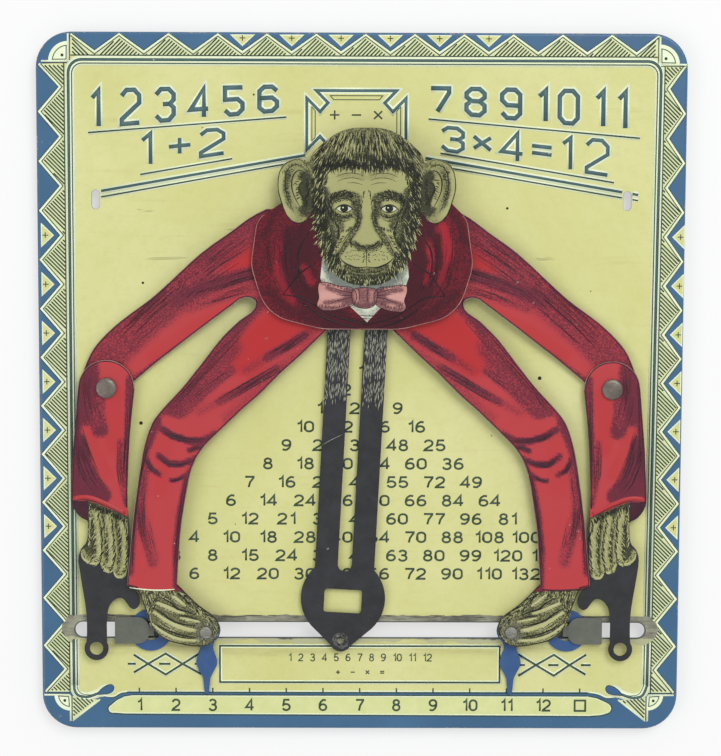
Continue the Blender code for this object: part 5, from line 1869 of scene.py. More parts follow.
# %% Draw the tail hair
random.seed(12)
tail_hair, scratch = new_sheet(), new_sheet()
HAIR_START, HAIR_END = 50.2, 78.6  # along the tail, from the hole in its tip
tail_foot, neck = Vector((-4.24, -55.25)), Vector((-0.35, 20.15))
tail_axis = (neck - tail_foot).normalized()
tail_side = Vector((tail_axis.y, -tail_axis.x))
for across in [side * (1.75 + 0.21 * n) for n in range(23) for side in (-1, 1)]:
    height = HAIR_START + random.uniform(0, 1.0)
    while height < HAIR_END:
        length = random.uniform(0.7, 1.9)
        fade = min(1.0, max(0.0, (height - HAIR_START) / 2.0))
        wave = 0.5 + 0.5 * math.sin(height * 1.34 - 1.0 + 0.4 * math.sin(across))
        if random.random() < fade * (0.5 + 0.5 * wave):
            spot = tail_foot + tail_axis * height + tail_side * (across + random.uniform(-0.1, 0.1))
            end = spot + tail_axis * length + tail_side * random.uniform(-0.14, 0.14)
            pen(tail_hair, [tuple(spot), tuple((spot + end) / 2), tuple(end)],
                random.uniform(0.09, 0.15), ends=(0.3, 0.3))
        height += length + random.uniform(0.05, 0.45)
tail_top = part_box("tail_window_plate")[1].z / MM
pen(scratch, [(-8.3, -12.6), (-6.2, -11.4), (-3.9, -10.3)], 0.2, smooth=True, ends=(0.4, 0.2))
pen(scratch, [(-7.3, -35.1), (-7, -35.2), (-6.9, -34.9)], 0.3, smooth=True)
pen(scratch, [(-2.8, -24.6), (-2.2, -24.9)], 0.2, ends=(0.3, 0.3))
rubbed_ring(scratch, tail_foot.x, tail_foot.y, 0.9, 1.7, 70)
keep_on(tail_hair, "tail_window_plate")
keep_on(scratch, "tail_window_plate")
grey_hair = litho_ink("grey_hair_lithograph_ink", "babca6", "a9ab95", 0.97)
press("tail_light_hairs", tail_top, tail_top + 0.03, grey_hair, "tail", "black_tin", sheet=tail_hair)
press("tail_scratches", tail_top, tail_top + 0.032, worn_grey, "tail", "black_tin", sheet=scratch)

# %% [markdown]
# ## Marks of use
#
# Three faint grey smears and a few dark specks lie on the yellow field, and small chips
# show pale tin on the suit, most of them where the limbs swing over each other.

# %% Draw smears, specks and chips
random.seed(14)
smears, specks = new_sheet(), bmesh.new()
for line, count in (([(-49, 37.5), (-42.5, 37.2)], 7), ([(-47, 27), (-35, 27.4)], 12),
                    ([(36, 27.4), (43.5, 27.3)], 8), ([(-30, 33), (-24, 33.6)], 4)):
    streaks(smears, line, count, 0.3, 0.12, 0.15, 0.6)
for x, y, size in ((-46.6, 22.0, 0.28), (-47.2, -8.1, 0.4), (38.3, 1.8, 0.42), (31.0, 38.1, 0.28),
                   (49.0, 20.5, 0.14), (-27.0, -30.0, 0.12), (-22.9, 61.9, 0.22)):
    fill(specks, arc(x, y, size, 0, 315, 8))
chip_ink = litho_ink("bared_tin_chips", "c9a39c", "d8c4b4", 0.5)
smear_ink = litho_ink("grey_smear", "b3b27a", "c2c084", 0.9, "8d8a60")
print_board("board_smears", 0.024, smear_ink, sheet=smears)
print_board("board_specks", 0.03, dark_ink, flat=specks)
CHIPS = {  # places and sizes
    "left_limb": [(-19.5, 16.3, 0.35), (-20.0, 10.5, 0.3), (-24.0, 6.0, 0.16), (-33.6, -13.2, 0.22),
                  (-35.5, 18.6, 0.14), (-26.5, 23.0, 0.14), (-21.0, 1.2, 0.16)],
    "right_limb": [(33.0, 22.0, 0.3), (36.5, 18.0, 0.26), (46.2, 13.5, 0.22), (16.5, 28.0, 0.26),
                   (45.0, -30.0, 0.3), (46.6, -31.4, 0.34), (47.2, -32.8, 0.24),
                   (40.5, -39.0, 0.28)],
    "head": [(15.4, 24.0, 0.24), (-11.5, 17.5, 0.16), (8.7, 14.7, 0.18), (-18.0, 26.6, 0.14)],
}
for body, marks in CHIPS.items():
    node = "head_chest_plate" if body == "head" else body.replace("limb", "arm_leg_plate")
    chips = new_sheet()
    for x, y, size in marks:
        way = random.uniform(0, math.pi)
        for _ in range(3):
            x += random.uniform(-size, size)
            y += random.uniform(-size, size)
            pen(chips, [(x, y), (x + size * 1.6 * math.cos(way), y + size * 1.6 * math.sin(way))],
                size * random.uniform(0.4, 0.9), ends=(0.3, 0.1))
    keep_on(chips, node)
    draw_on(node, body, "_chips", chips, 0.052, chip_ink)

# %% [markdown]
# ## The coat
#
# The head plate is printed in three steps: a dark wine coat over the chest, then collar and
# bow, then the head. The coat is the darkest cloth of the figure. Its lapels are crayon
# folds that run from the shoulders towards the bow, and a thin pale line along the cut is
# rubbed tin and painted highlight.

# %% Draw the crayon of the coat
random.seed(11)
head_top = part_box("head_chest_plate")[1].z / MM
COAT_SHADE = [
    (0.95, 1.6, 4.6, [(-11, 33), (-13.5, 27), (-11, 20), (-6, 15)]),
    (0.3, 0.6, 2.0, [(-16.5, 30), (-17.5, 24), (-15, 18.5)]),
    (0.9, 0.3, 1.6, [(-15.4, 33.5), (-16.2, 27), (-14, 21), (-9.5, 16.5)]),
    (0.35, 0.4, 1.6, [(-12.2, 25.5), (-10.5, 22.5)]),
    (0.95, 1.6, 4.4, [(11.3, 33), (13.8, 27), (11.3, 20), (6.3, 15)]),
    (0.25, 0.5, 1.9, [(17, 34), (18.2, 29), (16, 23)]),
    (0.15, 0.3, 1.5, [(13.6, 31.5), (15.2, 27), (13.8, 22.5)]),
    (0.9, 0.2, 1.4, [(15.8, 32), (16.4, 27), (14.4, 21), (11, 17)]),
    (0.95, 0.4, 1.7, [(-12, 15.4), (-4, 13.6), (4, 13.5), (12, 15.2)]),
    (0.8, 0.3, 1.5, [(-19.5, 20.4), (-15, 16.4), (-9, 14.4)]),
    (0.85, 0.3, 1.5, [(19.6, 20), (15, 16.2), (9, 14)]),
    (0.9, 1.5, 4.0, [(-11, 37), (-9, 31), (-3, 25), (3, 25), (11, 31), (13, 36)]),
    (0.8, 0.2, 1.2, [(-20.5, 32), (-19, 36), (-16.5, 39)]),
    (0.8, 0.2, 1.2, [(21.8, 31), (20.6, 35), (18.4, 38)]),
]
COAT_GLOW = [
    (1.0, 0.5, 2.4, [(17.4, 34), (18.4, 28)]),
    (0.9, 0.4, 1.8, [(13.8, 31), (15, 26)]),
    (0.4, 0.5, 2.0, [(-17.5, 30), (-18, 24)]),
    (0.4, 0.4, 1.4, [(-12.4, 25), (-10.8, 22.4)]),
]
print("front of the head plate at", round(head_top, 2), "mm")

# %% [markdown]
# ## Cloth of the coat
#
# The coat's print is the lower part of the plate's own top face, and the jaw will cover its
# upper end. Two helpers keep the calls for the many layers of this plate short.

# %% Lay the coat
def print_head(name, low, high, ink, **layers):
    """Presses a layer onto the head and chest plate, at heights over its front."""
    press(name, head_top + low, head_top + high, ink, "head", "dark_red_tin", **layers)


def shade_head(name, sheet, step, height, ink, **layers):
    """Cuts an area of the head plate into small squares and lays it with its shading."""
    grid(sheet, step)
    lay_print(name, sheet, head_top, height, ink, "head", "dark_red_tin", **layers)


coat = top_face("head_chest_plate")
cut(coat, (0, 39.5), (0, 1))
grid(coat, 0.5)
lay_print("coat_print", coat, 0.0, 0.014, coat_crayon, "head", "dark_red_tin",
          shade=(0.58, COAT_SHADE), glow=(0.12, COAT_GLOW))

# %% [markdown]
# ## Lapels and long lines
#
# Over the coat go the lapels as soft strokes, and bundles of long thin lines that follow a
# bend between three points.

# %% Draw the lapels
folds = new_sheet()
for line in ([(-9.6, 26.5), (-12.9, 24.4), (-16.6, 19.8)],
             [(-16.6, 19.8), (-12, 19), (-9.6, 17.4)],
             [(-9.6, 17.4), (-6.4, 15.6), (-2.6, 14.4), (1.2, 13.4)],
             [(10.9, 26.5), (14.2, 24.4), (17.6, 19.6)],
             [(17.6, 19.6), (13, 19), (10.4, 17.2)],
             [(10.4, 17.2), (7.6, 15.4), (4.4, 14.3), (1.2, 13.4)]):
    pen(folds, line, 0.4, smooth=True, ends=(0.4, 0.4))
# The lapels' edges are darker than the cloth
for line in ([(-11.2, 33), (-13.4, 28.6), (-13.2, 24.2)],
             [(12.4, 33), (14.8, 28.6), (14.6, 24.2)],
             [(-12.4, 18), (-7.2, 14.6), (0.4, 12.4)],
             [(13.4, 17.8), (8.4, 14.4), (2, 12.4)]):
    pen(folds, line, 0.42, smooth=True, ends=(0.3, 0.3))
# Long crayon lines follow the cloth
for bend in (((-14, 34), (-16.5, 27), (-12.5, 20)), ((-18, 33), (-20, 25), (-15, 18.5)),
             ((15, 35), (17.2, 28), (13.4, 20.5)), ((19, 34), (20.6, 26), (16, 18.5)),
             ((-6, 16), (1, 13.8), (8, 15.6))):
    for _ in range(16):
        shift = Vector((random.uniform(-1.6, 1.6), random.uniform(-1.0, 1.0)))
        a, b, c = [Vector(point) + shift for point in bend]
        first, last = sorted((random.random(), random.random()))
        line = []
        for t in np.linspace(first, max(last, first + 0.15), 4):
            line.append(tuple(a.lerp(b, t).lerp(b.lerp(c, t), t)))
        pen(folds, line, 0.13, ends=(0.2, 0.2))
print_head("coat_lines", 0.0, 0.03, coat_ink, sheet=folds)
# A rose line along the coat's cut is rubbed tin and painted highlight along the edge.
ink_outline("coat_rubbed_edge_highlight", "head_chest_plate", "head", "dark_red_tin", 0.034, 0.1, 0.15,
            rubbed_edge_and_highlight_ink, keep=lambda point: point[1] < 38.6)

# %% [markdown]
# ## Collar
#
# A white shirt front shows between the lapels. It is one filled outline, with dark crayon
# under the jaw and along the folds of its two points.

# %% Lay the collar
shirt_print = crayon_ink("grey_white_lithograph_ink", "cdd2bd", "dfe3d0", "8a9188", "4a5350",
                         1.8, 0.7, "f0f0e4")
pink_print = crayon_ink("pink_lithograph_ink", "c08a80", "d3a096", "965d60", "4c2b35",
                        1.6, 0.75, "ead0c8")
COLLAR = [(-8.3, 27.6), (-8.7, 23.4), (-8.2, 21.6), (-4.2, 19.6), (-3.4, 18.3), (1.2, 14),
          (5.2, 18.3), (6, 19.8), (9.4, 21.8), (10, 23.6), (9.6, 28.4), (1.05, 25)]
shade_head("shirt_print", filled(COLLAR), 0.5, 0.024, shirt_print,
          shade=(0.1, [(0.9, 0.6, 2.6, [(-7, 27), (-5.4, 23), (1, 21.4), (7, 23), (8.6, 27)]),
                       (0.5, 0.2, 1.0, [(-8.4, 22.8), (-5, 20.6)]),
                       (0.5, 0.2, 1.0, [(9.2, 22.8), (5.8, 20.4)]),
                       (0.45, 0.2, 1.1, [(-2, 17.6), (1.2, 15.2), (4.4, 17.4)])]), glow=(0.3, []))

# %% [markdown]
# ## The bow
#
# Two wings and a knot, each a filled outline with dark crayon where the cloth is gathered.
# The drawn folds and outlines come last, as one sheet of lines.

# %% Lay the bow
LEFT_WING = [(-1.6, 21), (-4.6, 21.6), (-7.6, 22.4), (-8.9, 22.3), (-9.2, 21), (-9, 19.2),
             (-9.4, 17.6), (-8.8, 16.7), (-6.2, 16.5), (-3.4, 17.1), (-1.4, 18)]
RIGHT_WING = [(3.2, 21), (6, 21.5), (8.4, 21.9), (9.6, 21.6), (9.6, 20.2), (9.1, 18.6),
              (9.4, 17), (8.7, 16.3), (6.2, 16.4), (4.4, 17), (3, 17.9)]
KNOT = [(-1.9, 20.7), (-0.4, 21.3), (1.6, 21.3), (3.2, 20.8), (3.3, 19.2), (2.8, 17.7),
        (1.4, 17), (-0.4, 17.1), (-1.6, 17.7), (-2, 19.2)]
shade_head("bow_wings", filled(LEFT_WING, RIGHT_WING), 0.4, 0.03, pink_print,
          shade=(0.15, [(0.95, 0.5, 2.4, [(-2, 20.4), (-2.4, 18.6)]),
                        (0.95, 0.5, 2.4, [(3.4, 20.4), (3.8, 18.6)]),
                        (0.8, 0.1, 0.8, [(-2.8, 20), (-5, 20.5), (-7.2, 21.3)]),
                        (0.8, 0.1, 0.8, [(-2.8, 19), (-5.2, 18.4), (-7.6, 18.2)]),
                        (0.8, 0.1, 0.8, [(3.8, 20), (6, 20.5), (8.4, 20.9)]),
                        (0.8, 0.1, 0.8, [(3.8, 19), (6, 18.5), (8.4, 17.8)]),
                        (0.7, 0.1, 0.8, [(-9, 17), (-5, 16.8), (-2.4, 17.8)]),
                        (0.7, 0.1, 0.8, [(9, 16.7), (6, 16.7), (3.8, 17.8)])]),
          glow=(0.3, [(1.0, 0.4, 1.6, [(-6, 19.4), (-8, 19.6)]),
                      (1.0, 0.4, 1.6, [(6.4, 19.6), (8.6, 19.4)])]))
shade_head("bow_knot", filled(KNOT), 0.4, 0.036, pink_print,
          shade=(0.75, [(0.35, 0.2, 0.9, [(-1, 20.4), (-0.9, 18.4)]),
                        (0.4, 0.2, 0.8, [(2.2, 20.4), (2.1, 18.6)]),
                        (1.0, 0.1, 0.7, [(-1.6, 17.8), (0.6, 17.2), (2.6, 17.8)])]), glow=(0.1, []))
folds = new_sheet()
for wing in (LEFT_WING, RIGHT_WING, KNOT):
    pen(folds, wing, 0.16, closed=True, smooth=True)
for line in ([(-2, 20.2), (-4.2, 20.7), (-6.4, 21.4)], [(-2, 19.3), (-4.6, 18.7), (-6.6, 18)],
             [(-2, 19.7), (-4, 19.7), (-5.4, 19.9)], [(3.4, 19.7), (5.2, 19.8), (6.6, 19.9)],
             [(3.4, 20.2), (5.4, 20.8), (7.6, 21.2)], [(3.4, 19.3), (5.6, 18.8), (7.8, 17.8)],
             [(-0.6, 21), (-0.4, 19.2), (-0.8, 17.4)], [(1.4, 21), (1.2, 19.4), (1.5, 17.4)]):
    pen(folds, line, 0.16, smooth=True, ends=(0.9, 0.2))
for line in ([(-9, 17.3), (-6, 16.8), (-3, 17.7)], [(3.8, 17.7), (6.4, 16.8), (9, 17)],
             [(-8.8, 21.9), (-6, 21.5), (-3, 20.8)], [(3.8, 20.8), (6, 21.2), (9.2, 21.5)]):
    hairs(folds, line, 26, 0.7, 85, 0.1, 0.15)
print_head("bow_lines", 0.0, 0.044, wine_ink, sheet=folds)

# %% [markdown]
# ## The head: fur and skin
#
# The head is a calm monkey of no particular kind. It is drawn by a few rules: both sides
# mirror each other, the eyes stand halfway between crown and chin, and the muzzle is a soft
# oval below them. All lines are given as distances from the head's own middle line. First
# comes the fur: the plate's top face above the shoulders, an oval for the jaw and two
# ear lobes. The lighter skin lies on it.

# %% Both halves of the head
HEAD_X = 1.05


def both(line):
    """A line of the head and its mirror image, from distances to the head's middle line."""
    return [[(HEAD_X + x, y) for x, y in line], [(HEAD_X - x, y) for x, y in line]]


def whole(half):
    """A closed outline from its right half."""
    right, left = both(half)
    return right + left[::-1]


def pairs(brushes):
    """Crayon strokes for both halves of the head."""
    return [(value, core, fade, line) for value, core, fade, half in brushes for line in both(half)]


print("head's middle line at x", HEAD_X)

# %% [markdown]
# ## Fur of the head
#
# The fur lies in two layers, head and ears first and the jaw a little higher. Dark crayon
# round the face makes the skin stand out.

# %% Lay the fur
fur = top_face("head_chest_plate")
cut(fur, (0, 39.15), (0, -1))
bmesh.ops.translate(fur, vec=(0, 0, -head_top), verts=fur.verts)
LOBE = [(10.5, 39.15), (17.75, 39.15), (17.5, 38.2), (16.8, 36.6), (15.6, 35.3), (14.1, 34.9),
        (12.8, 35.5), (11.8, 37), (10.9, 38.4)]
JAW = [(0.9, 40), (10.9, 40), (11.4, 37.6), (11, 34.4), (9.8, 31), (8.7, 28),
       (7.5, 25.6), (5.8, 23.6), (3.4, 22.2), (0.9, 21.8)]
for half in both(LOBE):
    fill(fur, half)
shade_head("head_fur", fur, 0.5, 0.04, fur_crayon,
          shade=(0.34, pairs([
              (0.55, 0.6, 2.4, [(0, 54), (5, 53), (9, 50.6), (11.4, 47.4)]),
              (0.9, 0.6, 2.6, [(0, 47.6), (5, 47.7), (8.6, 46.4), (10.6, 42.4), (10.9, 38.4)]),
              (0.9, 0.7, 1.8, [(13, 44.6), (13.4, 41), (13, 37.6)]),
              (0.0, 0.3, 1.0, [(14.6, 43.8), (15, 41.6), (14.2, 39)]),
              (0.6, 0.3, 1.3, [(16.6, 45.2), (17.5, 42), (16.6, 38.2)]),
              (0.1, 0.4, 1.0, [(18.1, 45.4), (18.6, 42), (17.6, 38.4), (15.6, 36)])])),
          glow=(0.2, pairs([(1.0, 0.5, 2.0, [(17.4, 46), (18.4, 42), (16.9, 37.4)])])))
shade_head("jaw_fur", filled(soft(whole(JAW))), 0.5, 0.043, fur_crayon,
          shade=(0.45, pairs([
              (0.95, 1.0, 3.4, [(10.6, 40), (9.6, 34), (7.8, 29)]),
              (0.95, 0.6, 2.4, [(0, 22), (3.6, 22.6), (6.6, 25.4)])])),
          glow=(0.1, []))

# %% [markdown]
# ## Skin of the face
#
# The lighter skin is one soft outline from brow to chin. Its crayon models the brow, the eye
# sockets, the sides of the nose and the fold above the lip.

# %% Lay the skin
SKIN = [(2.6, 46.9), (5.6, 46.7), (8.2, 45.2), (9.2, 42), (8.5, 38.6), (7.2, 36.4), (5.9, 34.6),
        (5.5, 32.8), (6.2, 30.8), (7.2, 28.8), (7.2, 26.4), (5.8, 24.3), (3.2, 23), (0.8, 22.8)]
shade_head("face_skin", filled(soft(whole(SKIN))), 0.4, 0.047, fur_crayon,
          shade=(0.06, pairs([
              (0.6, 0.4, 1.5, [(2.2, 40.4), (4.4, 41), (6.6, 40.5), (7.8, 39.4)]),
              (0.7, 0.4, 1.6, [(2.2, 39.8), (2.4, 38.4), (2, 36.8)]),
              (0.55, 0.3, 1.2, [(3.4, 36.6), (5, 36), (6.8, 36.6)]),
              (0.7, 0.5, 1.6, [(8.8, 41.5), (8.3, 38.4), (7, 36.2), (5.7, 34.4)]),
              (0.55, 0.2, 1.2, [(2.8, 33.4), (3.8, 31.6), (5.1, 29.4), (6.4, 27.6)]),
              (0.6, 0.3, 1.2, [(1.5, 36.2), (1.9, 34.4), (3, 32.6)]),
              (0.7, 0.3, 1.1, [(0, 29.6), (1.4, 29.8), (2.6, 30.6)]),
              (0.75, 0.5, 1.7, [(7.2, 27.6), (6, 24.9), (3, 23.5), (0, 23.2)]),
              (0.6, 0.2, 1.0, [(0, 24.9), (2.4, 25), (4.4, 25.8)]),
              (0.3, 0.3, 1.2, [(0.8, 44.6), (3, 45.2), (5.6, 45)])])),
          glow=(0.7, []))

# %% [markdown]
# ## Eyes, nose and mouth
#
# The features are few and plain: round dark eyes half under a soft lid, a broad flat nose
# with two commas for nostrils, and a closed mouth that curves gently. Each side is drawn
# once and mirrored.

# %% Eyes
features, eye_whites, eye_dark, glints = new_sheet(), bmesh.new(), bmesh.new(), bmesh.new()
EYE = [(3.2, 38), (3.8, 38.45), (4.75, 38.6), (5.7, 38.45), (6.3, 38), (5.7, 37.5),
       (4.75, 37.35), (3.8, 37.5)]


def oval(x, y, half_x, half_y, count=20):
    """Points of an oval."""
    return [(x + half_x * math.cos(t), y + half_y * math.sin(t))
            for t in np.linspace(0, 2 * math.pi, count, endpoint=False)]


for half in both(EYE):
    fill(eye_whites, half)
for half in both(oval(4.75, 38.0, 0.86, 0.72)):
    fill(eye_dark, half)
for eye_x in (HEAD_X + 4.75, HEAD_X - 4.75):
    fill(glints, oval(eye_x - 0.25, 38.2, 0.15, 0.15, 8))
print("eyes drawn")

# %% [markdown]
# ## Lines of the face
#
# These are the drawn lines: lids, brow, nostrils, mouth and the creases beside them. Each is
# thickest in its middle and is mirrored to the other half.

# %% Lines of the features
FEATURES = [  # line, width
    ([(2.8, 37.7), (3.6, 38.45), (4.75, 38.72), (5.9, 38.45), (6.8, 37.7)], 0.45),
    ([(3, 38), (3.7, 37.4), (4.8, 37.2), (5.8, 37.45), (6.5, 38.1)], 0.2),
    ([(2.7, 39.2), (3.6, 39.95), (4.9, 40.15), (6.4, 39.7), (7.3, 38.8)], 0.22),
    ([(3, 36.6), (4.4, 36.1), (6.2, 36.5)], 0.22),
    ([(3.4, 35.7), (4.8, 35.3), (6.2, 35.7)], 0.16),
    ([(2.5, 37.9), (2, 37.2)], 0.3),
    ([(1.3, 38.6), (1.2, 36.4), (1.7, 34.2), (2.6, 32.4)], 0.18),
    ([(0.5, 30.3), (1.1, 30.1), (1.9, 30.5), (2.5, 31.3)], 0.4),
    ([(0, 29.5), (0.5, 29.9), (0.6, 30.3)], 0.26),
    ([(2.9, 32), (3.3, 31.1), (2.8, 30.2)], 0.22),
    ([(0, 25.75), (1.7, 25.55), (3.5, 26), (4.9, 26.8), (5.6, 27.6)], 0.4),
    ([(0.2, 24.7), (1.8, 24.55), (3.2, 25)], 0.2),
    ([(0.3, 24), (2, 24), (3.6, 24.5)], 0.13),
    ([(3.5, 32.6), (4.7, 30.8), (5.6, 29), (6.3, 28.2)], 0.2),
    ([(3.1, 33.6), (4.4, 32), (5.6, 30)], 0.14),
    ([(0.7, 44.9), (2.4, 45.4), (4.8, 45.3), (6.6, 44.6)], 0.15),
    ([(0.7, 43.9), (2.4, 44.4), (4.6, 44.3), (6.2, 43.7)], 0.15),
    ([(0.9, 43), (2.4, 43.4), (4.2, 43.4)], 0.13),
]
for line, width in FEATURES:
    for half in both(line):
        pen(features, half, width, smooth=True, ends=(0.3, 0.3))
pen(features, [(HEAD_X, 29.4), (HEAD_X, 27.8), (HEAD_X, 26.0)], 0.18, smooth=True, ends=(0.8, 0.4))
print(len(FEATURES), "lines on each side of the face")

# %% [markdown]
# ## Shading with fine strokes
#
# A print of one dark ink has no grey. Rows of short strokes side by side stand for it, and
# their length and lean tell how the surface turns.

# %% Rows of fine strokes
MODELLING = [  # line, strokes, length, lean
    ([(2.2, 41.1), (4.6, 41.9), (7.2, 41.3), (8.2, 40)], 46, 1.2, -50),
    ([(2.6, 40.5), (4.6, 41.1), (6.8, 40.7), (7.9, 39.6)], 40, 1.0, -50),
    ([(0.5, 41.6), (0.9, 39.6), (1.2, 37.4)], 16, 0.7, 160),
    ([(1.4, 39.9), (1.6, 38), (1.5, 36), (2, 34.2)], 26, 0.7, 60),
    ([(8.6, 40.8), (8.4, 38.4), (7.2, 36.2), (5.8, 34.2), (5.7, 32.2)], 60, 1.2, 24),
    ([(7.8, 40), (7.6, 38.4), (6.4, 36.6)], 24, 0.9, 30),
    ([(6.4, 31.2), (7.2, 29.2), (7.6, 27)], 30, 1.0, 30),
    ([(3, 34.4), (4.2, 33.6), (5.2, 33.4)], 14, 0.7, -50),
    ([(4.6, 32.4), (5.6, 30.6), (6.6, 29)], 22, 0.8, 60),
    ([(3, 31.6), (4.2, 29.8), (5.2, 28.2)], 16, 0.5, 70),
    ([(1, 28.9), (2.8, 29.2), (4.2, 28.6)], 10, 0.35, 20),
    ([(1.2, 28), (3, 28.2), (4.6, 27.8)], 10, 0.35, 20),
    ([(1.4, 27.2), (3, 27.2), (4.4, 27.3)], 8, 0.3, 20),
    ([(0.4, 25.1), (2.4, 25), (4.6, 26.1)], 20, 0.45, -80),
    ([(0.4, 23.6), (3, 23.8), (5.4, 25.2)], 24, 0.6, -70),
    ([(5.4, 26.6), (6.4, 27.4), (7.2, 28.4)], 14, 0.8, -60),
    ([(0.4, 46.9), (4, 47.3), (7.4, 46.3)], 40, 1.1, -84),
    ([(8.2, 44.4), (8.8, 42.6), (8.7, 40.8)], 24, 0.9, 150),
    ([(1.6, 36.4), (2, 34.6), (3, 32.8)], 20, 0.6, 60),
    ([(3, 31.9), (3.4, 31), (3, 30)], 14, 0.5, 20),
    ([(5.8, 28.8), (5.9, 27.6), (5.2, 26.6)], 16, 0.7, 60),
    ([(0.5, 29), (0.4, 28), (0.4, 26.8)], 10, 0.5, 60),
    ([(2.4, 38.8), (3.2, 39.5), (5, 39.7), (6.6, 39.2)], 26, 0.5, 60),
    ([(3, 36.9), (4.6, 36.5), (6.4, 37)], 22, 0.5, -60),
]
for line, count, length, lean in MODELLING:
    for half, side in zip(both(line), (1, -1)):
        hairs(features, half, count, length, side * lean, 0.13, 0.18)
print_head("eye_whites", 0.04, 0.051, shirt_print, flat=eye_whites)
print_head("eye_irises", 0.04, 0.055, dark_ink, flat=eye_dark)
print_head("eye_glints", 0.04, 0.059, pale_ink, flat=glints)
print_head("face_lines", 0.04, 0.066, dark_ink, sheet=features)

# %% [markdown]
# ## Hair
#
# Hair is what the pen did most. The crown is combed down and outwards from the top, darkest
# at the fringe, and the whiskers stand out from the cheeks like rays. Dark strokes and light
# ones are two sheets, and a fixed seed keeps them the same at every run.

# %% One hair of the head
random.seed(21)
SWAY = 0.12
dark_hair, light_hair = new_sheet(), new_sheet()


def hairline(x):
    """Height of the fringe's lower end at a distance from the middle of the head."""
    return 46.2 + 0.6 * math.exp(-((abs(x) - 5.0) / 3.0) ** 2) - 0.012 * max(0.0, abs(x) - 6.0) ** 3


def crown_top(x):
    """Height of the crown's outline at a distance from the middle of the head."""
    return 54.75 - 0.0145 * x * x - 0.00022 * x ** 4


def strand(sheet, x, y, length, lean, width):
    """One hair of the crown or cheek, from a start point down along its lean in degrees."""
    turn = math.radians(lean + random.uniform(-5, 5))
    bend = random.uniform(-SWAY, SWAY)
    points = [(HEAD_X + x, y),
              (HEAD_X + x + (math.sin(turn) + bend) * length / 2, y - math.cos(turn) * length / 2),
              (HEAD_X + x + math.sin(turn) * length, y - math.cos(turn) * length)]
    pen(sheet, points, width, smooth=True, ends=(0.5, 0.2))


print("fringe at", round(hairline(0), 1), "and crown at", round(crown_top(0), 1), "mm")

# %% [markdown]
# ## The crown
#
# Every hair starts at a random place between fringe and crown and leans outwards with its
# distance from the middle. Most are dark, and the light ones are rarer near the fringe.

# %% Comb the crown
for _ in range(900):
    x = random.uniform(-11.4, 11.4)
    low, high = hairline(x), crown_top(x)
    share = random.random()
    length = random.uniform(1.2, 2.8) * (0.6 + 0.4 * share)
    y = low + 0.7 + (high - low - 0.9) * share
    length = min(length, y - low + 0.35)
    lean = x * (2.0 + 2.4 * share)
    if abs(x + math.sin(math.radians(lean)) * length) > 11.6:
        continue
    if random.random() < 0.6 + 0.36 * (1 - share) ** 2:
        strand(dark_hair, x, y, length, lean, random.uniform(0.1, 0.21))
    else:
        strand(light_hair, x, y, length, lean, random.uniform(0.1, 0.19))
for _ in range(420):
    x = random.uniform(-9.8, 9.8)
    y = hairline(x) + random.uniform(-0.1, 2.0)
    sheet = light_hair if random.random() < 0.16 else dark_hair
    strand(sheet, x, y, random.uniform(0.5, 1.5), x * 2.6, random.uniform(0.1, 0.22))
print(len(dark_hair.splines), "dark and", len(light_hair.splines), "light hairs on the crown")

# %% [markdown]
# ## Cheeks and whiskers
#
# The temples are filled at random. The whiskers start from three rows along the jaw, and
# each row stands a little farther in than the last.

# %% Temples, cheeks and whiskers
for sign in (-1, 1):
    for _ in range(300):
        share = random.random()
        y = 46.4 - 12.5 * share
        x = 9.6 + 1.0 * share + random.uniform(-0.9, 1.5) - 1.6 * share ** 2
        sheet = light_hair if random.random() < 0.25 else dark_hair
        strand(sheet, sign * x, y, random.uniform(0.7, 1.7), sign * random.uniform(8, 40),
               random.uniform(0.11, 0.21))
    # Whiskers along the jaw, in three rows
    for rank, (spread_in, reach) in enumerate(((0, 1.7), (1.1, 1.6), (2.2, 1.4))):
        edge = [(10.7 - spread_in, 36.4), (10.1 - spread_in, 32.6), (8.8 - spread_in, 29.2),
                (7.6 - spread_in * 0.9, 26.2), (5.6 - spread_in * 0.6, 24.2 + spread_in * 0.2),
                (2.8, 22.9 + spread_in * 0.25), (0.0, 22.5 + spread_in * 0.25)]
        for x, y, dx, dy in spread(edge, 120):
            lean = 38 - 34 * (36.4 - y) / 13.9 + random.uniform(-14, 14)
            shorter = 0.55 if y < 24.5 else 1.0
            x += random.uniform(-0.5, 0.5)
            y += random.uniform(-0.4, 0.5)
            sheet = light_hair if random.random() < (0.5 if rank == 0 else 0.36) else dark_hair
            strand(sheet, sign * x, y, reach * shorter * random.uniform(0.5, 1.1), sign * lean,
                   random.uniform(0.11, 0.2))
print(len(dark_hair.splines), "dark hairs with the whiskers")

# %% [markdown]
# ## Ears
#
# An ear is a rim, an inner fold and a few hairs, drawn once and mirrored.

# %% Ears: rim, inner fold and a few hairs
EAR_LINES = [  # line, width
    ([(12.6, 46.9), (14.2, 48.3), (16, 47.9), (17.7, 46.8), (18.7, 42.8), (17.9, 39.2),
      (17, 36.8), (15.4, 35.2), (13.9, 35), (12.6, 35.9), (11.9, 37.4)], 0.2),
    ([(13.4, 46.6), (14.8, 47.2), (16.4, 46.4), (17.2, 43.4), (16.6, 40), (15.4, 37.4)], 0.22),
    ([(13, 45.4), (14.2, 46), (15.4, 45), (15.8, 42.6), (15.1, 40.2), (14, 38.2)], 0.3),
    ([(13.2, 43.6), (14, 43.2), (14.2, 41.6), (13.4, 40.2), (13.2, 38.6)], 0.4),
    ([(12.2, 41.2), (12.9, 40.2), (12.6, 38.8)], 0.3),
]
for line, width in EAR_LINES:
    for half in both(line):
        pen(dark_hair, half, width, smooth=True, ends=(0.4, 0.3))
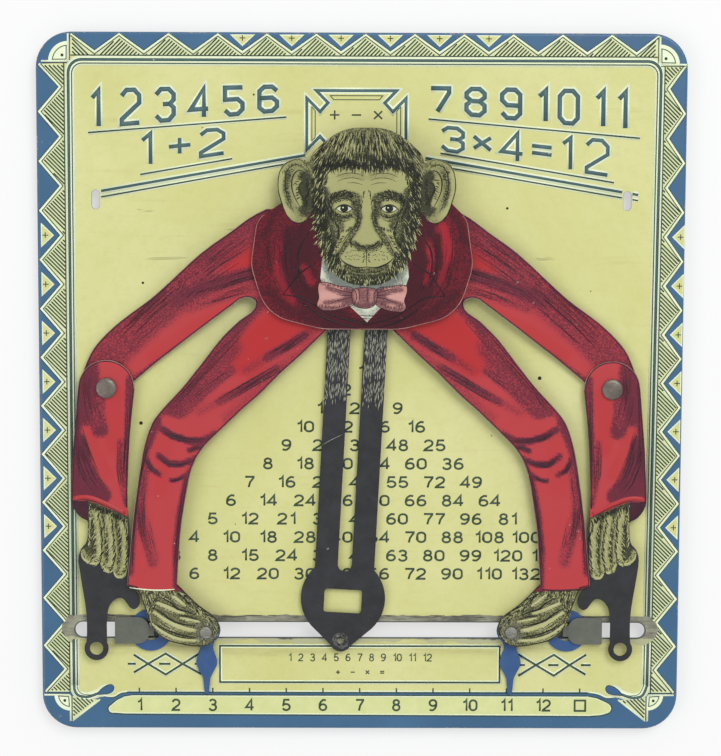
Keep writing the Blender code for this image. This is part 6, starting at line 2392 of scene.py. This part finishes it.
for line, count, length, lean in (([(13.4, 45), (14.6, 43.4), (14.2, 40)], 26, 0.8, 60),
                                  ([(15.4, 46.2), (16.8, 43.4), (16, 39.4)], 30, 0.6, 80),
                                  ([(12.4, 44.4), (12.2, 42), (12.6, 39)], 30, 1.0, 30),
                                  ([(13.2, 47.4), (16, 47.2), (17.6, 45.6)], 22, 0.5, -60)):
    for half, side in zip(both(line), (1, -1)):
        hairs(dark_hair, half, count, length, side * lean, 0.12, 0.25)
print_head("light_hair_strokes", 0.035, 0.054, tan_ink, sheet=light_hair)
print_head("dark_hair_strokes", 0.035, 0.07, dark_ink, sheet=dark_hair)

# %% [markdown]
# ## Enamel, steel and blue tin
#
# What is left are the bare parts: black enamelled plate, blue pointers, grey slide tabs and
# steel rivets. They keep their CAD meshes. Handling has scratched the enamel through to
# metal in fine streaks, and the rivets are darkened steel with bright scratches from the riveting
# tool.

# %% Recipes for the small parts
def worn_metal(name, code, cloudy, metal, rough, edge="9b978e", edge_share=0.62):
    """A coat or a metal whose clouds, scratches and rubbed spots are all procedural."""
    material = empty_material(name)
    place = add_node(material, "TexCoord").outputs["Object"]
    cloud = add_node(material, "TexNoise", {
        "Vector": place, "Scale": 320.0, "Detail": 5.0, "Roughness": 0.7})
    amount = add_node(material, "MapRange", {0: cloud, 1: 0.35, 2: 0.68})
    body = add_node(material, "Mix", {0: amount, 6: linear(code), 7: linear(cloudy)}, data_type="RGBA")
    stretch = add_node(material, "Mapping", {
        "Vector": place, "Rotation": (0, 0, 0.6), "Scale": (1.0, 9.0, 1.0)})
    scratch = add_node(material, "TexNoise", {
        "Vector": stretch, "Scale": 520.0, "Detail": 5.0, "Roughness": 0.8})
    fine = add_node(material, "MapRange", {0: scratch, 1: edge_share, 2: edge_share + 0.06, 4: 0.8})
    colour = add_node(material, "Mix", {0: fine, 6: body, 7: linear(edge)}, data_type="RGBA")
    gloss = add_node(material, "MapRange", {0: cloud, 3: rough - 0.1, 4: rough + 0.15})
    dress_surface(material, colour, gloss, scratch, 0.2, 0.1,
                  {"Metallic": metal, "Specular IOR Level": 0.4})
    return material


black_enamel = worn_metal("black_enamelled_tinplate", "242527", "303136", 0.0, 0.44, "6f7069", 0.66)
blue_tin = worn_metal("blue_printed_tinplate", "325486", "3a5d8d", 0.0, 0.4, "8aa0b4", 0.68)
grey_tin = worn_metal("grey_printed_tinplate", "5f6259", "6b6e64", 0.1, 0.45, "8d9087", 0.68)
rivet_steel = worn_metal("darkened_rivet_steel", "6b645d", "857e76", 0.7, 0.42, "b5b0a6", 0.6)
bright_steel = worn_metal("bright_rivet_steel", "7b7b74", "8f8f86", 0.6, 0.5, "c2c0b4", 0.55)
plate_edge = worn_metal("cut_tinplate", "4a3234", "5d4346", 0.2, 0.45, "8d8078", 0.62)
FINISHES = (("forearm", black_enamel), ("tail", black_enamel), ("pointer", blue_tin),
            ("guide", grey_tin), ("foot_rivet", bright_steel), ("rivet", rivet_steel),
            ("washer", rivet_steel), ("spacer", rivet_steel), ("arm_leg", plate_edge),
            ("head", plate_edge))
for node in nodes:
    for finish in [metal for word, metal in FINISHES if word in node][:1]:
        nodes[node].data.materials[0] = finish
print("all", len(nodes), "nodes have a finish")
